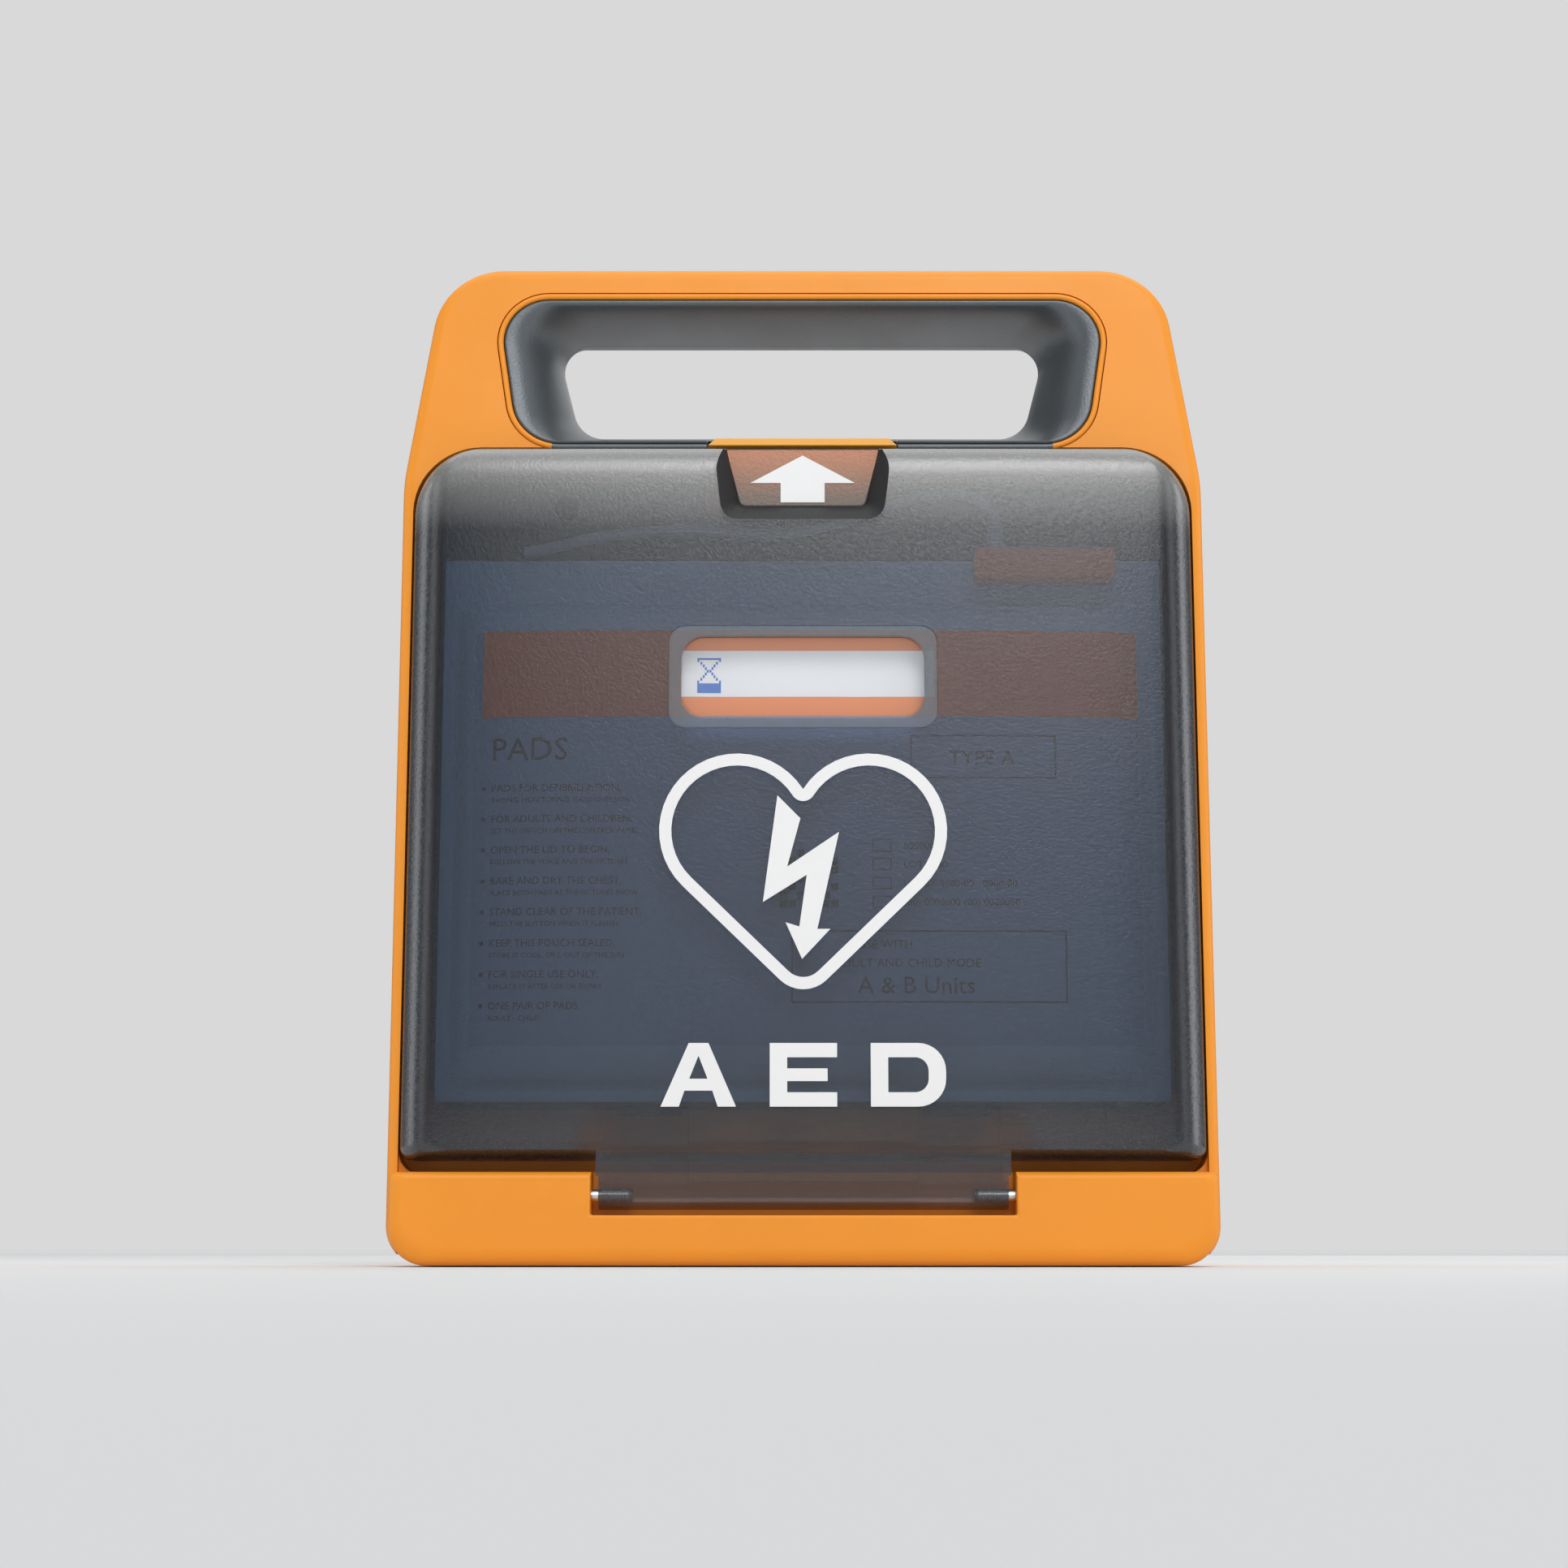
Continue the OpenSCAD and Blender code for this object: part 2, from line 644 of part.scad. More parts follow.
// Outline of a heart: two round lobes, straight lower sides and a rounded tip.
function heart_points() =
    let(lobe = [16.9, 109.9], r = 20, notch = acos(-lobe[0] / r), foot = -46, tip_r = 8.5,
        tip = [0, lobe[1] + (r - tip_r) * sin(foot) - (lobe[0] + (r - tip_r) * cos(foot)) * tan(90 + foot)],
        right = concat(
            [for (i = [0:24]) let(a = notch + (foot - notch) * i / 24) lobe + r * [cos(a), sin(a)]],
            [for (i = [0:4]) let(a = foot + (-90 - foot) * i / 4) tip + tip_r * [cos(a), sin(a)]]))
    concat(right, [for (i = [len(right) - 2:-1:1]) [-right[i][0], right[i][1]]]);

module heart_symbol() {
    color("white") slab(-lid_front - 0.3, -lid_front) {
        difference() {
            polygon(heart_points());
            offset(r = -3.1) polygon(heart_points());
        }
        polygon([[-6.6, 119], [-0.7, 113], [-4.1, 100.5], [9.2, 109.5], [3.6, 84.5], [6.9, 84.5],
            [-0.3, 76.8], [-4.5, 86.2], [-1, 85.1], [0.9, 98.4], [-10.3, 91.4]]);
    }
}

// Three plain block letters, each on a 19 by 16 field.
module lid_title() {
    color("white") slab(-lid_front - 0.3, -lid_front) translate([0, 39.5]) {
        translate([-36, 0]) difference() {
            polygon([[0, 0], [4.6, 0], [6, 4], [13, 4], [14.4, 0], [19, 0], [12, 16], [7, 16]]);
            polygon([[7.2, 7], [11.8, 7], [9.5, 12.8]]);
        }
        translate([-8.5, 0]) polygon([[0, 0], [17, 0], [17, 3.6], [4.4, 3.6], [4.4, 6.4], [14.6, 6.4],
            [14.6, 9.6], [4.4, 9.6], [4.4, 12.4], [17, 12.4], [17, 16], [0, 16]]);
        translate([17, 0]) difference() {
            polygon(rounded([[0, 0], [19, 0], [19, 16], [0, 16]], [0.1, 7, 7, 0.1]));
            polygon(rounded([[4.4, 3.6], [14.6, 3.6], [14.6, 12.4], [4.4, 12.4]], [0.1, 3.4, 3.4, 0.1]));
        }
    }
}

// ---- Moving controls ----

module latch_slider() {
    color([0.98, 0.68, 0.2]) {
        slab(-30, -20) polygon(pairs(latch_half, 214.5, latch_half - 2, 216.3));
        block([-18, -20, 214.5], [18, -11, 216.3]);
        block([-12, -13.6, 199.4], [12, -11, 214.6]);
        block([-4.6, -11.2, 199.4], [4.6, -3.6, 201.2]);
    }
}

module latch_spring() {
    color("silver") translate([0, -7, 201.4]) coil_spring(2.4, 0.4, 12.2, 5);
}

module shock_button() {
    color([0.9, 0.35, 0.1]) {
        peg(shock_pos, shock_r, panel_front - 2.4, -13.8);
        peg(shock_pos, shock_r + 1.4, -13.8, -12.4);
    }
}

module shock_mark() {
    color("white") slab(panel_front - 2.7, panel_front - 2.4) translate(shock_pos)
        polygon([[2, 9], [-5.5, -1.5], [-0.8, -1.5], [-2, -9], [5.5, 1.5], [0.8, 1.5]]);
}

module shock_spring() {
    color("silver") translate([shock_pos[0], -12.2, shock_pos[1]]) rotate([-90, 0, 0])
        coil_spring(8, 0.4, 5, 2);
}

module info_button() {
    color([0.2, 0.45, 0.75]) {
        peg(info_pos, info_r, panel_front - 1.4, -13.8);
        peg(info_pos, info_r + 1.2, -13.8, -12.6);
    }
}

module info_spring() {
    color("silver") translate([info_pos[0], -12.4, info_pos[1]]) rotate([-90, 0, 0])
        coil_spring(3.5, 0.35, 5.2, 3);
}

module mode_switch() {
    color([0.92, 0.92, 0.9]) {
        block([switch_pos[0] - 11.6, panel_front - 1.6, 88.4], [switch_pos[0] - 0.6, -13.8, 95.6]);
        block([switch_pos[0] - 13.4, -13.8, 86.6], [switch_pos[0] + 1.2, -12.6, 97.4]);
    }
}

// ---- Battery ----

module battery_pack() {
    color([0.16, 0.17, 0.18]) difference() {
        slab(bay_front + 0.6, rear_face - 0.1)
            polygon(box_points(battery_w / 2, battery_low, battery_low + battery_h, 2));
        slab(bay_front + 2.6, rear_face - 2.3)
            polygon(box_points(battery_w / 2 - 2, battery_low + 2, battery_low + battery_h - 2, 1));
        block([-14, rear_face - 1.6, battery_low + battery_h - 9],
            [14, rear_depth, battery_low + battery_h + 1]);
        slab(rear_face - 0.5, rear_depth) polygon(box_points(40, 34, 62, 2));
    }
}

module battery_cells() {
    color([0.3, 0.55, 0.35]) for (row = [0, 1], column = [0, 1]) {
        translate([-50 + column * 51, 25.5, 38 + row * 22]) rotate([0, 90, 0]) cylinder(r = 8.4, h = 49);
    }
}

module battery_label() {
    color("white") slab(rear_face - 0.5, rear_face - 0.2) polygon(box_points(39.8, 34.2, 61.8, 1.8));
}

module battery_latch() {
    color([0.9, 0.5, 0.12]) difference() {
        block([-9.7, 31.7, 89], [9.7, rear_face, 96.6]);
        for (i = [0:2]) {
            block([-8, rear_face - 0.7, 90.4 + i * 2], [8, rear_depth, 91.4 + i * 2]);
        }
    }
}

front_frame();
rear_shell();
case_seal();
grip_insert_front();
grip_insert_rear();
hinge_pins();
case_screws();
rear_bumpers();
rating_plate();
panel_plate();
panel_overlay();
panel_screws();
status_lens();
speaker_grille();
speaker();
microphone();
pads_socket();
pads_plug();
plug_strain_relief();
pads_cable();
cable_clips();
pads_packet();
packet_lugs();
main_board();
board_screws();
board_chips();
hv_capacitor();
transformer();
inductor();
relays();
reed_switch();
battery_contacts();
lid_shell();
lid_window();
lid_magnet();
lift_arrow();
heart_symbol();
lid_title();
latch_slider();
latch_spring();
shock_button();
shock_mark();
shock_spring();
info_button();
info_spring();
mode_switch();
battery_pack();
battery_cells();
battery_label();
battery_latch();
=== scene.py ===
"""Portable defibrillator: the looks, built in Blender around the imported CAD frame.

Outlines are worked out in millimetres, in the X-Z plane, and turned into metres when a mesh is made.
"""

import math

import bmesh
import bpy
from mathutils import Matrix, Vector, noise


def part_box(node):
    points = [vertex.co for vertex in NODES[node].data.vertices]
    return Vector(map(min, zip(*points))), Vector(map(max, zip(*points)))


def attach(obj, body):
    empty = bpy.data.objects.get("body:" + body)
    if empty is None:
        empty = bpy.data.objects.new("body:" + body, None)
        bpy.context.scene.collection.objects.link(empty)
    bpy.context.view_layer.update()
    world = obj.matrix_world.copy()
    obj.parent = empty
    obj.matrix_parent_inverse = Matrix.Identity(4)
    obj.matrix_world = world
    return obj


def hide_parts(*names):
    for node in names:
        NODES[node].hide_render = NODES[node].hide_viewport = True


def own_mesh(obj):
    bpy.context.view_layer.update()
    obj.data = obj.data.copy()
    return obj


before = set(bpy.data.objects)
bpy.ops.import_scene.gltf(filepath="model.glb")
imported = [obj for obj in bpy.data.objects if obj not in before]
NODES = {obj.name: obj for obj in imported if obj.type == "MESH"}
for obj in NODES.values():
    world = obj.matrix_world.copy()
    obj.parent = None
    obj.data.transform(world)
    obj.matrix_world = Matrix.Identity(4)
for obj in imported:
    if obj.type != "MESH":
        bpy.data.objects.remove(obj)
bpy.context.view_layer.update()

MM = 0.001


# ---------------------------------------------------------------- sizes taken from the frame


def mm_box(node):
    """Lowest and highest corner of a CAD node, in millimetres."""
    low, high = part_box(node)
    return low / MM, high / MM


case_low, case_high = mm_box("front_frame")
rear_high = mm_box("rear_shell")[1]
lid_low, lid_high = mm_box("lid_shell")
window_low, window_high = mm_box("lid_window")
packet_low, packet_high = mm_box("pads_packet")
pin_low, pin_high = mm_box("hinge_pins")
plate_high = mm_box("rating_plate")[1]
battery_label_high = mm_box("battery_label")[1]
overlay_low = mm_box("panel_overlay")[0]

# Case: outline, seam between its halves, room for the lid, hinge recess, handle and rear details.
HALF_W = case_high.x
CASE_H = case_high.z
CASE_FRONT = case_low.y
CASE_REAR = rear_high.y
SHOULDER_Z = 206.0
TOP_LEAN = 9.2
BODY_CORNERS = (10, 10, 60, 19, 19, 60)
SEAM_INSET = 0.35
SEAM_Y = 0.45
WEB_Z = 215.3
FLANGE_Y = -14.0
HANDLE_Y = -26.0
HANDLE_REAR = 13.0
HANDLE_LEAN = math.tan(math.radians(4))
EDGE_R = 3.2
STRIP_H = 23.3
BAY_CORNER_R = 5.0
RECESS_HALF = 53.3
RECESS_LOW = 12.5
WALL = 2.6
LATCH_HALF = 25.6
LOWER_EDGE = ((-67, -40, 205), (67, 10, 216.9))
THROAT_Y = 4.0
WELL_R = 3.3
WELLS = [(x, z, CASE_REAR) for x in (-94, 94) for z in (15, 120, 186)]
WELLS += [(x, 236, HANDLE_REAR) for x in (-91.5, 91.5)]
BUMPER_R = 6.15
BUMPERS = [(x, z) for x in (-80, 80) for z in (104, 184)]
# Lid: walls, the bow of its face, hinge barrel, lifting recess and window.
LID_FRONT = lid_low.y + 0.05
LID_BACK = lid_high.y
LID_HALF = lid_high.x
LID_Z0 = 26.6
LID_Z1 = lid_high.z + 1.2
LID_WALL = 2.4
LID_CROWN = 2.4
CROWN_BACK = -24
CROWN_DEPTH = 9
TOP_FALL = 1.1
TOP_FALL_Z = 176.0
TOP_ROLL_R = 13.0
TOP_ROLL_H = 8.6
HINGE_Y = (pin_low.y + pin_high.y) / 2
HINGE_Z = (pin_low.z + pin_high.z) / 2
BARREL_R = 3.55
BARREL_HALF = 51.5
TAB_HALF = 52.2
BORE_R = 1.65
RECESS_FLOOR_Y = -32.4
WINDOW_Z = (window_low.z + window_high.z) / 2
# Steps of each rounded corner of an outline.
ARC_STEPS = 12
# Studio: the floor's colours near the part and far from it, its size and height, and the fill light.
FLOOR_NEAR = (0.79, 0.79, 0.79, 1)
FLOOR_FAR = (1.0, 1.0, 1.0, 1)
FLOOR_HALF = 9e4
FLOOR_Z = -0.3
FILL = 0.2
# Each sun is (name, direction that its light comes from, strength, spread in degrees).
SUNS = [
    ("front_light", (0.18, -1.0, 0.62), 0.84, 36),
    ("high_light", (0.1, -1.0, 0.85), 0.6, 30),
    ("top_light", (0.1, -0.25, 1.0), 0.34, 80),
]
# Each soft box is (name, place, width, height, power).
SOFT_BOXES = [
    ("front_box", (0.0, -1.5, 0.42), 0.8, 0.8, 0.9),
    ("over_box", (0.0, 0.05, 1.15), 1.4, 0.8, 4.8),
    ("left_front_box", (-0.95, -0.6, 0.45), 0.35, 0.8, 0.9),
    ("right_front_box", (0.95, -0.6, 0.45), 0.35, 0.8, 0.9),
    ("left_box", (-1.1, 0.1, 0.3), 0.45, 0.9, 1.8),
    ("right_box", (1.1, 0.1, 0.3), 0.45, 0.9, 2.4),
    ("rear_box", (0.3, 1.1, 0.8), 0.9, 0.9, 2.0),
]


# ---------------------------------------------------------------- outlines


def mix(a, b, t):
    """Value between a and b."""
    return a + (b - a) * t


def quarter(steps):
    """(sine, cosine) at even steps of a quarter turn."""
    angles = [math.pi / 2 * k / steps for k in range(steps + 1)]
    return [(math.sin(a), math.cos(a)) for a in angles]


def whole_turn(steps):
    """(cosine, sine) at even steps of a whole turn."""
    angles = [2 * math.pi * k / steps for k in range(steps)]
    return [(math.cos(a), math.sin(a)) for a in angles]


def rounded(corners, radii, inset=0.0, splits=None, steps=ARC_STEPS):
    """Anticlockwise outline with rounded corners, moved in by inset. splits cuts each straight edge."""
    count = len(corners)
    splits = splits or [0] * count
    arcs = []
    for i in range(count):
        here = Vector(corners[i])
        back = (Vector(corners[i - 1]) - here).normalized()
        ahead = (Vector(corners[(i + 1) % count]) - here).normalized()
        half = math.acos(max(-1, min(1, back.dot(ahead)))) / 2
        centre = here + (back + ahead).normalized() * radii[i] / math.sin(half)
        first = math.atan2(back.x, -back.y)
        sweep = (math.atan2(-ahead.x, ahead.y) - first) % (2 * math.pi)
        reach = radii[i] - inset
        angles = [first + sweep * k / steps for k in range(steps + 1)]
        arcs.append([centre + reach * Vector((math.cos(a), math.sin(a))) for a in angles])
    points = []
    for i in range(count):
        points += arcs[i]
        start, end = arcs[i][-1], arcs[(i + 1) % count][0]
        for k in range(splits[i]):
            points.append(start.lerp(end, (k + 1) / (splits[i] + 1)))
    return points


def quad(low_half, low, top_half, top):
    """Four corners of an outline that mirrors about the middle."""
    return [(-low_half, low), (low_half, low), (top_half, top), (-top_half, top)]


def body_outline(inset=0.0, low=0.0):
    """Whole case from the front."""
    top_half = HALF_W - TOP_LEAN
    corners = [
        (-HALF_W, low - inset),
        (HALF_W, low - inset),
        (HALF_W, SHOULDER_Z),
        (top_half, CASE_H),
        (-top_half, CASE_H),
        (-HALF_W, SHOULDER_Z),
    ]
    return rounded(corners, BODY_CORNERS, inset, [0, 30, 6, 0, 6, 30])


def rear_outline(inset, low, top):
    """Deep rear part of the case, from the front."""
    corners = quad(HALF_W, low - inset, HALF_W, top + inset)
    return rounded(corners, [inset + 9, inset + 9, inset + 16, inset + 16], inset)


def strip_outline(side, low, high):
    """Foot strip from the front."""
    half = HALF_W - side
    return rounded(quad(half, low, half, high), [10, 10, 2, 2])


def grip_outline(t, grow=0.0, low=None):
    """Grip opening, from its rim (t = 0) to its throat (t = 1). The lower edge has its own share, low."""
    rim = quad(76, 216.5, 82.5, 257.8)
    throat = quad(61.5, 226.5, 68.5, 253.6)
    lower = t if low is None else low
    heights = (lower, lower, t, t)
    corners = [(mix(a[0], b[0], t), mix(a[1], b[1], h)) for a, b, h in zip(rim, throat, heights)]
    low_r, top_r = mix(13, 8.5, t), mix(12, 8, t)
    return rounded(corners, [low_r, low_r, top_r, top_r], -grow, [10, 6, 14, 6])


def lid_outline(inset=0.0, low=0.0, high=0.0):
    """Lid from the front; low and high are how far its lower and upper edges move in."""
    corners = quad(LID_HALF, LID_Z0 + low - inset, LID_HALF, LID_Z1 - high + inset)
    return rounded(corners, [inset + 3, inset + 3, 18, 18], inset, [0, 34, 0, 34])


def circle(x, z, r, steps=48):
    """Round outline."""
    return [Vector((x + r * c, z + r * s)) for c, s in whole_turn(steps)]


def growing_circle(x, z, r):
    """Round outline as a function of how far it grows."""
    return lambda grow: circle(x, z, r + grow)


def growing_box(half, low, high, corner, steps=ARC_STEPS):
    """Rounded rectangle as a function of how far it grows."""

    def outline(grow):
        corners = quad(half + grow, low - grow, half + grow, high + grow)
        return rounded(corners, [corner + grow] * 4, steps=steps)

    return outline


def front_y(z):
    """Depth of the case's front face at a height: upright beside the lid, leaning back above it."""
    return HANDLE_Y + max(0.0, z - SHOULDER_Z) * HANDLE_LEAN


# ---------------------------------------------------------------- mesh making


def at_depth(outline, depth):
    """Ring of 3-D points; depth is a number or a function of height."""
    if callable(depth):
        return [(p.x, depth(p.y), p.y) for p in outline]
    return [(p.x, depth, p.y) for p in outline]


def new_object(name, points, faces):
    """Mesh object from points in millimetres, with its faces turned outward."""
    mesh = bpy.data.meshes.new(name)
    mesh.from_pydata([Vector(p) * MM for p in points], [], faces)
    work = bmesh.new()
    work.from_mesh(mesh)
    bmesh.ops.recalc_face_normals(work, faces=work.faces)
    work.to_mesh(mesh)
    work.free()
    piece = bpy.data.objects.new(name, mesh)
    bpy.context.scene.collection.objects.link(piece)
    return piece


def loft(name, rings, ladder=0):
    """Closed solid through rings of equal length.

    A mirrored outline can have caps of level rungs, ladder columns wide.
    """
    count = len(rings[0])
    points = [p for ring in rings for p in ring]
    faces = []
    for r in range(len(rings) - 1):
        for i in range(count):
            a, b = r * count + i, r * count + (i + 1) % count
            faces.append((a, b, b + count, a + count))
    for base in (0, (len(rings) - 1) * count):
        if not ladder:
            faces.append(tuple(range(base, base + count)))
            continue
        turn = 2 * ARC_STEPS + 1
        rungs = []
        for i in range(count // 2):
            right = base + ARC_STEPS + 1 + i
            left = base + (turn - ARC_STEPS - 1 - i) % count
            start, end = Vector(points[left]), Vector(points[right])
            parts = ladder if 0 < i < count // 2 - 1 else 1
            inner = range(len(points), len(points) + parts - 1)
            points += [start.lerp(end, (k + 1) / parts) for k in range(parts - 1)]
            rungs.append([left, *inner, right])
        for lower, upper in zip(rungs, rungs[1:]):
            if len(lower) == len(upper):
                for k in range(len(lower) - 1):
                    faces.append((lower[k], lower[k + 1], upper[k + 1], upper[k]))
            else:
                faces.append((*lower, *reversed(upper)))
    return new_object(name, points, faces)


def prism(name, outline, y0, y1):
    """Straight solid between two depths."""
    return loft(name, [at_depth(outline, y0), at_depth(outline, y1)])


def block(name, low, high):
    """Box between two corners."""
    corners = [(low[0], low[2]), (high[0], low[2]), (high[0], high[2]), (low[0], high[2])]
    return prism(name, [Vector(corner) for corner in corners], low[1], high[1])


def latch_way(floor):
    """Cutter for the latch's way through the web; floor is how far below the web it starts."""
    return block("latch_way", (-LATCH_HALF, -32, WEB_Z - floor), (LATCH_HALF, -10.2, 221))


def rod(name, r, x0, x1, y, z, steps=48):
    """Cylinder along X."""
    return loft(name, [[(x, y + r * c, z + r * s) for c, s in whole_turn(steps)] for x in (x0, x1)])


def combine(piece, tool, operation):
    """Exact boolean on piece; the tool is used up."""
    modifier = piece.modifiers.new("combine", "BOOLEAN")
    modifier.operation = operation
    modifier.solver = "EXACT"
    modifier.object = tool
    if tool.data.materials:
        modifier.material_mode = "TRANSFER"
    with bpy.context.temp_override(object=piece, active_object=piece, selected_objects=[piece]):
        bpy.ops.object.modifier_apply(modifier=modifier.name)
    mesh = tool.data
    bpy.data.objects.remove(tool)
    bpy.data.meshes.remove(mesh)


def cut(piece, tool):
    """Takes tool away from piece."""
    combine(piece, tool, "DIFFERENCE")


def join(piece, tool):
    """Adds tool to piece."""
    combine(piece, tool, "UNION")


def smooth(piece, angle=28, weighted=True):
    """Smooth shading that keeps the edges sharper than angle."""
    mesh = piece.data
    mesh.polygons.foreach_set("use_smooth", [True] * len(mesh.polygons))
    mesh.set_sharp_from_angle(angle=math.radians(angle))
    if weighted:
        modifier = piece.modifiers.new("normals", "WEIGHTED_NORMAL")
        modifier.keep_sharp = True


def soften(piece, width, segments=2, angle=40):
    """Rounds the sharp edges of a piece and shades it smoothly."""
    modifier = piece.modifiers.new("edges", "BEVEL")
    modifier.width = width * MM
    modifier.segments = segments
    modifier.limit_method = "ANGLE"
    modifier.angle_limit = math.radians(angle)
    modifier.harden_normals = True
    piece.data.polygons.foreach_set("use_smooth", [True] * len(piece.data.polygons))


def flared(outline_of, y_mouth, y_end, flare, steps=4):
    """Rings of a cutter whose mouth opens out in a rounded edge. outline_of(grow) gives the outline."""
    away = 1 if y_end > y_mouth else -1
    rings = [at_depth(outline_of(flare), y_mouth - away * 2)]
    for sine, cosine in quarter(steps):
        rings.append(at_depth(outline_of(flare * (1 - sine)), y_mouth + away * flare * (1 - cosine)))
    rings.append(at_depth(outline_of(0), y_end))
    return rings


def finish_piece(piece, material, body, replaced=()):
    """Gives a piece its material, its body and the CAD nodes it stands for."""
    piece.data.materials.clear()
    piece.data.materials.append(material)
    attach(piece, body)
    if replaced:
        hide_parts(*replaced)


# ---------------------------------------------------------------- materials


def linear(r, g, b):
    """Colour given as 0-255 screen values, as linear light."""
    shares = [c / 255 for c in (r, g, b)]
    return tuple(((c + 0.055) / 1.055) ** 2.4 if c > 0.04045 else c / 12.92 for c in shares) + (1,)


# The Mix node keeps its colour sockets behind those for numbers and vectors.
COLOUR_A = 6
COLOUR_B = 7
COLOUR_OUT = 2


class Shader:
    """Short ways to add nodes to a material."""

    def __init__(self, name):
        self.material = bpy.data.materials.new(name)
        self.material.use_nodes = True
        self.tree = self.material.node_tree
        self.bsdf = self.tree.nodes["Principled BSDF"]
        self.coords = self.add("ShaderNodeTexCoord").outputs["Object"]

    def add(self, kind, **values):
        node = self.tree.nodes.new(kind)
        for key, value in values.items():
            if hasattr(node, key):
                setattr(node, key, value)
            else:
                node.inputs[key.replace("_", " ").title()].default_value = value
        return node

    def link(self, a, b):
        self.tree.links.new(a, b)

    def noise(self, scale, detail=2.0, roughness=0.5):
        node = self.add("ShaderNodeTexNoise", scale=scale, detail=detail, roughness=roughness)
        self.link(self.coords, node.inputs["Vector"])
        return node.outputs["Fac"]

    def ramp(self, value, low, high, low_at=0.0, high_at=1.0):
        node = self.add("ShaderNodeMapRange")
        node.inputs["From Min"].default_value = low_at
        node.inputs["From Max"].default_value = high_at
        node.inputs["To Min"].default_value = low
        node.inputs["To Max"].default_value = high
        self.link(value, node.inputs["Value"])
        return node.outputs["Result"]

    def colours(self, value, a, b):
        node = self.add("ShaderNodeMix", data_type="RGBA")
        node.inputs[COLOUR_A].default_value = a
        node.inputs[COLOUR_B].default_value = b
        self.link(value, node.inputs[0])
        return node.outputs[COLOUR_OUT]

    def combine(self, operation, *values):
        node = self.add("ShaderNodeMath", operation=operation)
        for value, socket in zip(values, node.inputs):
            self.link(value, socket)
        return node.outputs[0]

    def bump(self, value, strength, distance):
        node = self.add("ShaderNodeBump")
        node.inputs["Strength"].default_value = strength
        node.inputs["Distance"].default_value = distance
        self.link(value, node.inputs["Height"])
        return node.outputs["Normal"]

    def set(self, **values):
        for key, value in values.items():
            self.bsdf.inputs[key.replace("_", " ")].default_value = value


def tinted(colour, factor):
    """Colour made lighter or darker by factor."""
    return tuple(min(c * factor, 1) for c in colour[:3]) + (1,)


def moulded(
    name,
    colour,
    rough=0.45,
    grain=1400.0,
    depth=0.00004,
    strength=0.5,
    variation=0.08,
    metal=0.0,
    coat=0.0,
    gloss=0.5,
):
    """Moulded or painted surface: fine grain, soft colour drift and uneven gloss."""
    s = Shader(name)
    drift = s.noise(38.0, 4.0, 0.6)
    mottled = s.colours(drift, tinted(colour, 1 - variation), tinted(colour, 1 + variation))
    s.link(mottled, s.bsdf.inputs["Base Color"])
    smudge = s.noise(16.0, 5.0, 0.62)
    s.link(s.ramp(smudge, rough - 0.07, rough + 0.08, 0.3, 0.7), s.bsdf.inputs["Roughness"])
    s.link(s.bump(s.noise(grain, 2.0, 0.6), strength, depth), s.bsdf.inputs["Normal"])
    s.set(Metallic=metal, Specular_IOR_Level=gloss)
    if coat:
        s.set(Coat_Weight=coat, Coat_Roughness=0.12)
    return s.material


def see_through(name, colour, alpha, rough, grain, depth, strength=0.6, ior=1.45, edges=None, rise=None):
    """Tinted plastic that lets part of the light through, with a frosted grain on its gloss.

    edges is (side, top, foot): how opaque it is where its rolled edges are seen through more plastic.
    rise is (colour, low, high): painted light, the colour that it turns to between two heights in
    millimetres, where more light reaches it.
    """
    s = Shader(name)
    place = s.add("ShaderNodeSeparateXYZ")
    s.link(s.coords, place.inputs[0])
    height = place.outputs["Z"]
    drift = s.noise(22.0, 3.0)
    tint = s.colours(drift, tinted(colour, 0.93), tinted(colour, 1.07))
    # Painted light: between the two heights of rise the base colour turns towards rise's colour.
    if rise:
        painted_light_tint = s.colours(s.ramp(height, 0.0, 1.0, rise[1] * MM, rise[2] * MM), colour, rise[0])
        s.link(tint, painted_light_tint.node.inputs[COLOUR_A])
        tint = painted_light_tint
    s.link(tint, s.bsdf.inputs["Base Color"])
    speck = s.noise(grain, 2.0, 0.7)
    s.link(s.ramp(speck, rough - 0.06, rough + 0.06, 0.3, 0.7), s.bsdf.inputs["Roughness"])
    s.link(s.bump(speck, strength, depth), s.bsdf.inputs["Normal"])
    # A clear surface keeps its whole gloss: the specular level makes up for what alpha takes away.
    s.set(Alpha=alpha, IOR=ior, Specular_IOR_Level=min(1.0, 0.5 / alpha))
    if edges:
        across = s.combine("ABSOLUTE", place.outputs["X"])
        side = s.ramp(across, alpha, edges[0], (LID_HALF - 9) * MM, (LID_HALF - 3.5) * MM)
        top = s.ramp(height, alpha, edges[1], (LID_Z1 - 14) * MM, (LID_Z1 - 2) * MM)
        foot = s.ramp(height, edges[2], alpha, (LID_Z0 + 4) * MM, (LID_Z0 + 16) * MM)
        # The hinge tab and the middle of the foot above it stay as clear as the face.
        tab = s.ramp(height, alpha, 1.0, (LID_Z0 - 0.5) * MM, (LID_Z0 + 1) * MM)
        middle = s.ramp(across, alpha, 1.0, (BARREL_HALF + 2.5) * MM, (BARREL_HALF + 16.5) * MM)
        foot = s.combine("MINIMUM", s.combine("MINIMUM", foot, tab), middle)
        s.link(s.combine("MAXIMUM", s.combine("MAXIMUM", side, top), foot), s.bsdf.inputs["Alpha"])
    return s.material


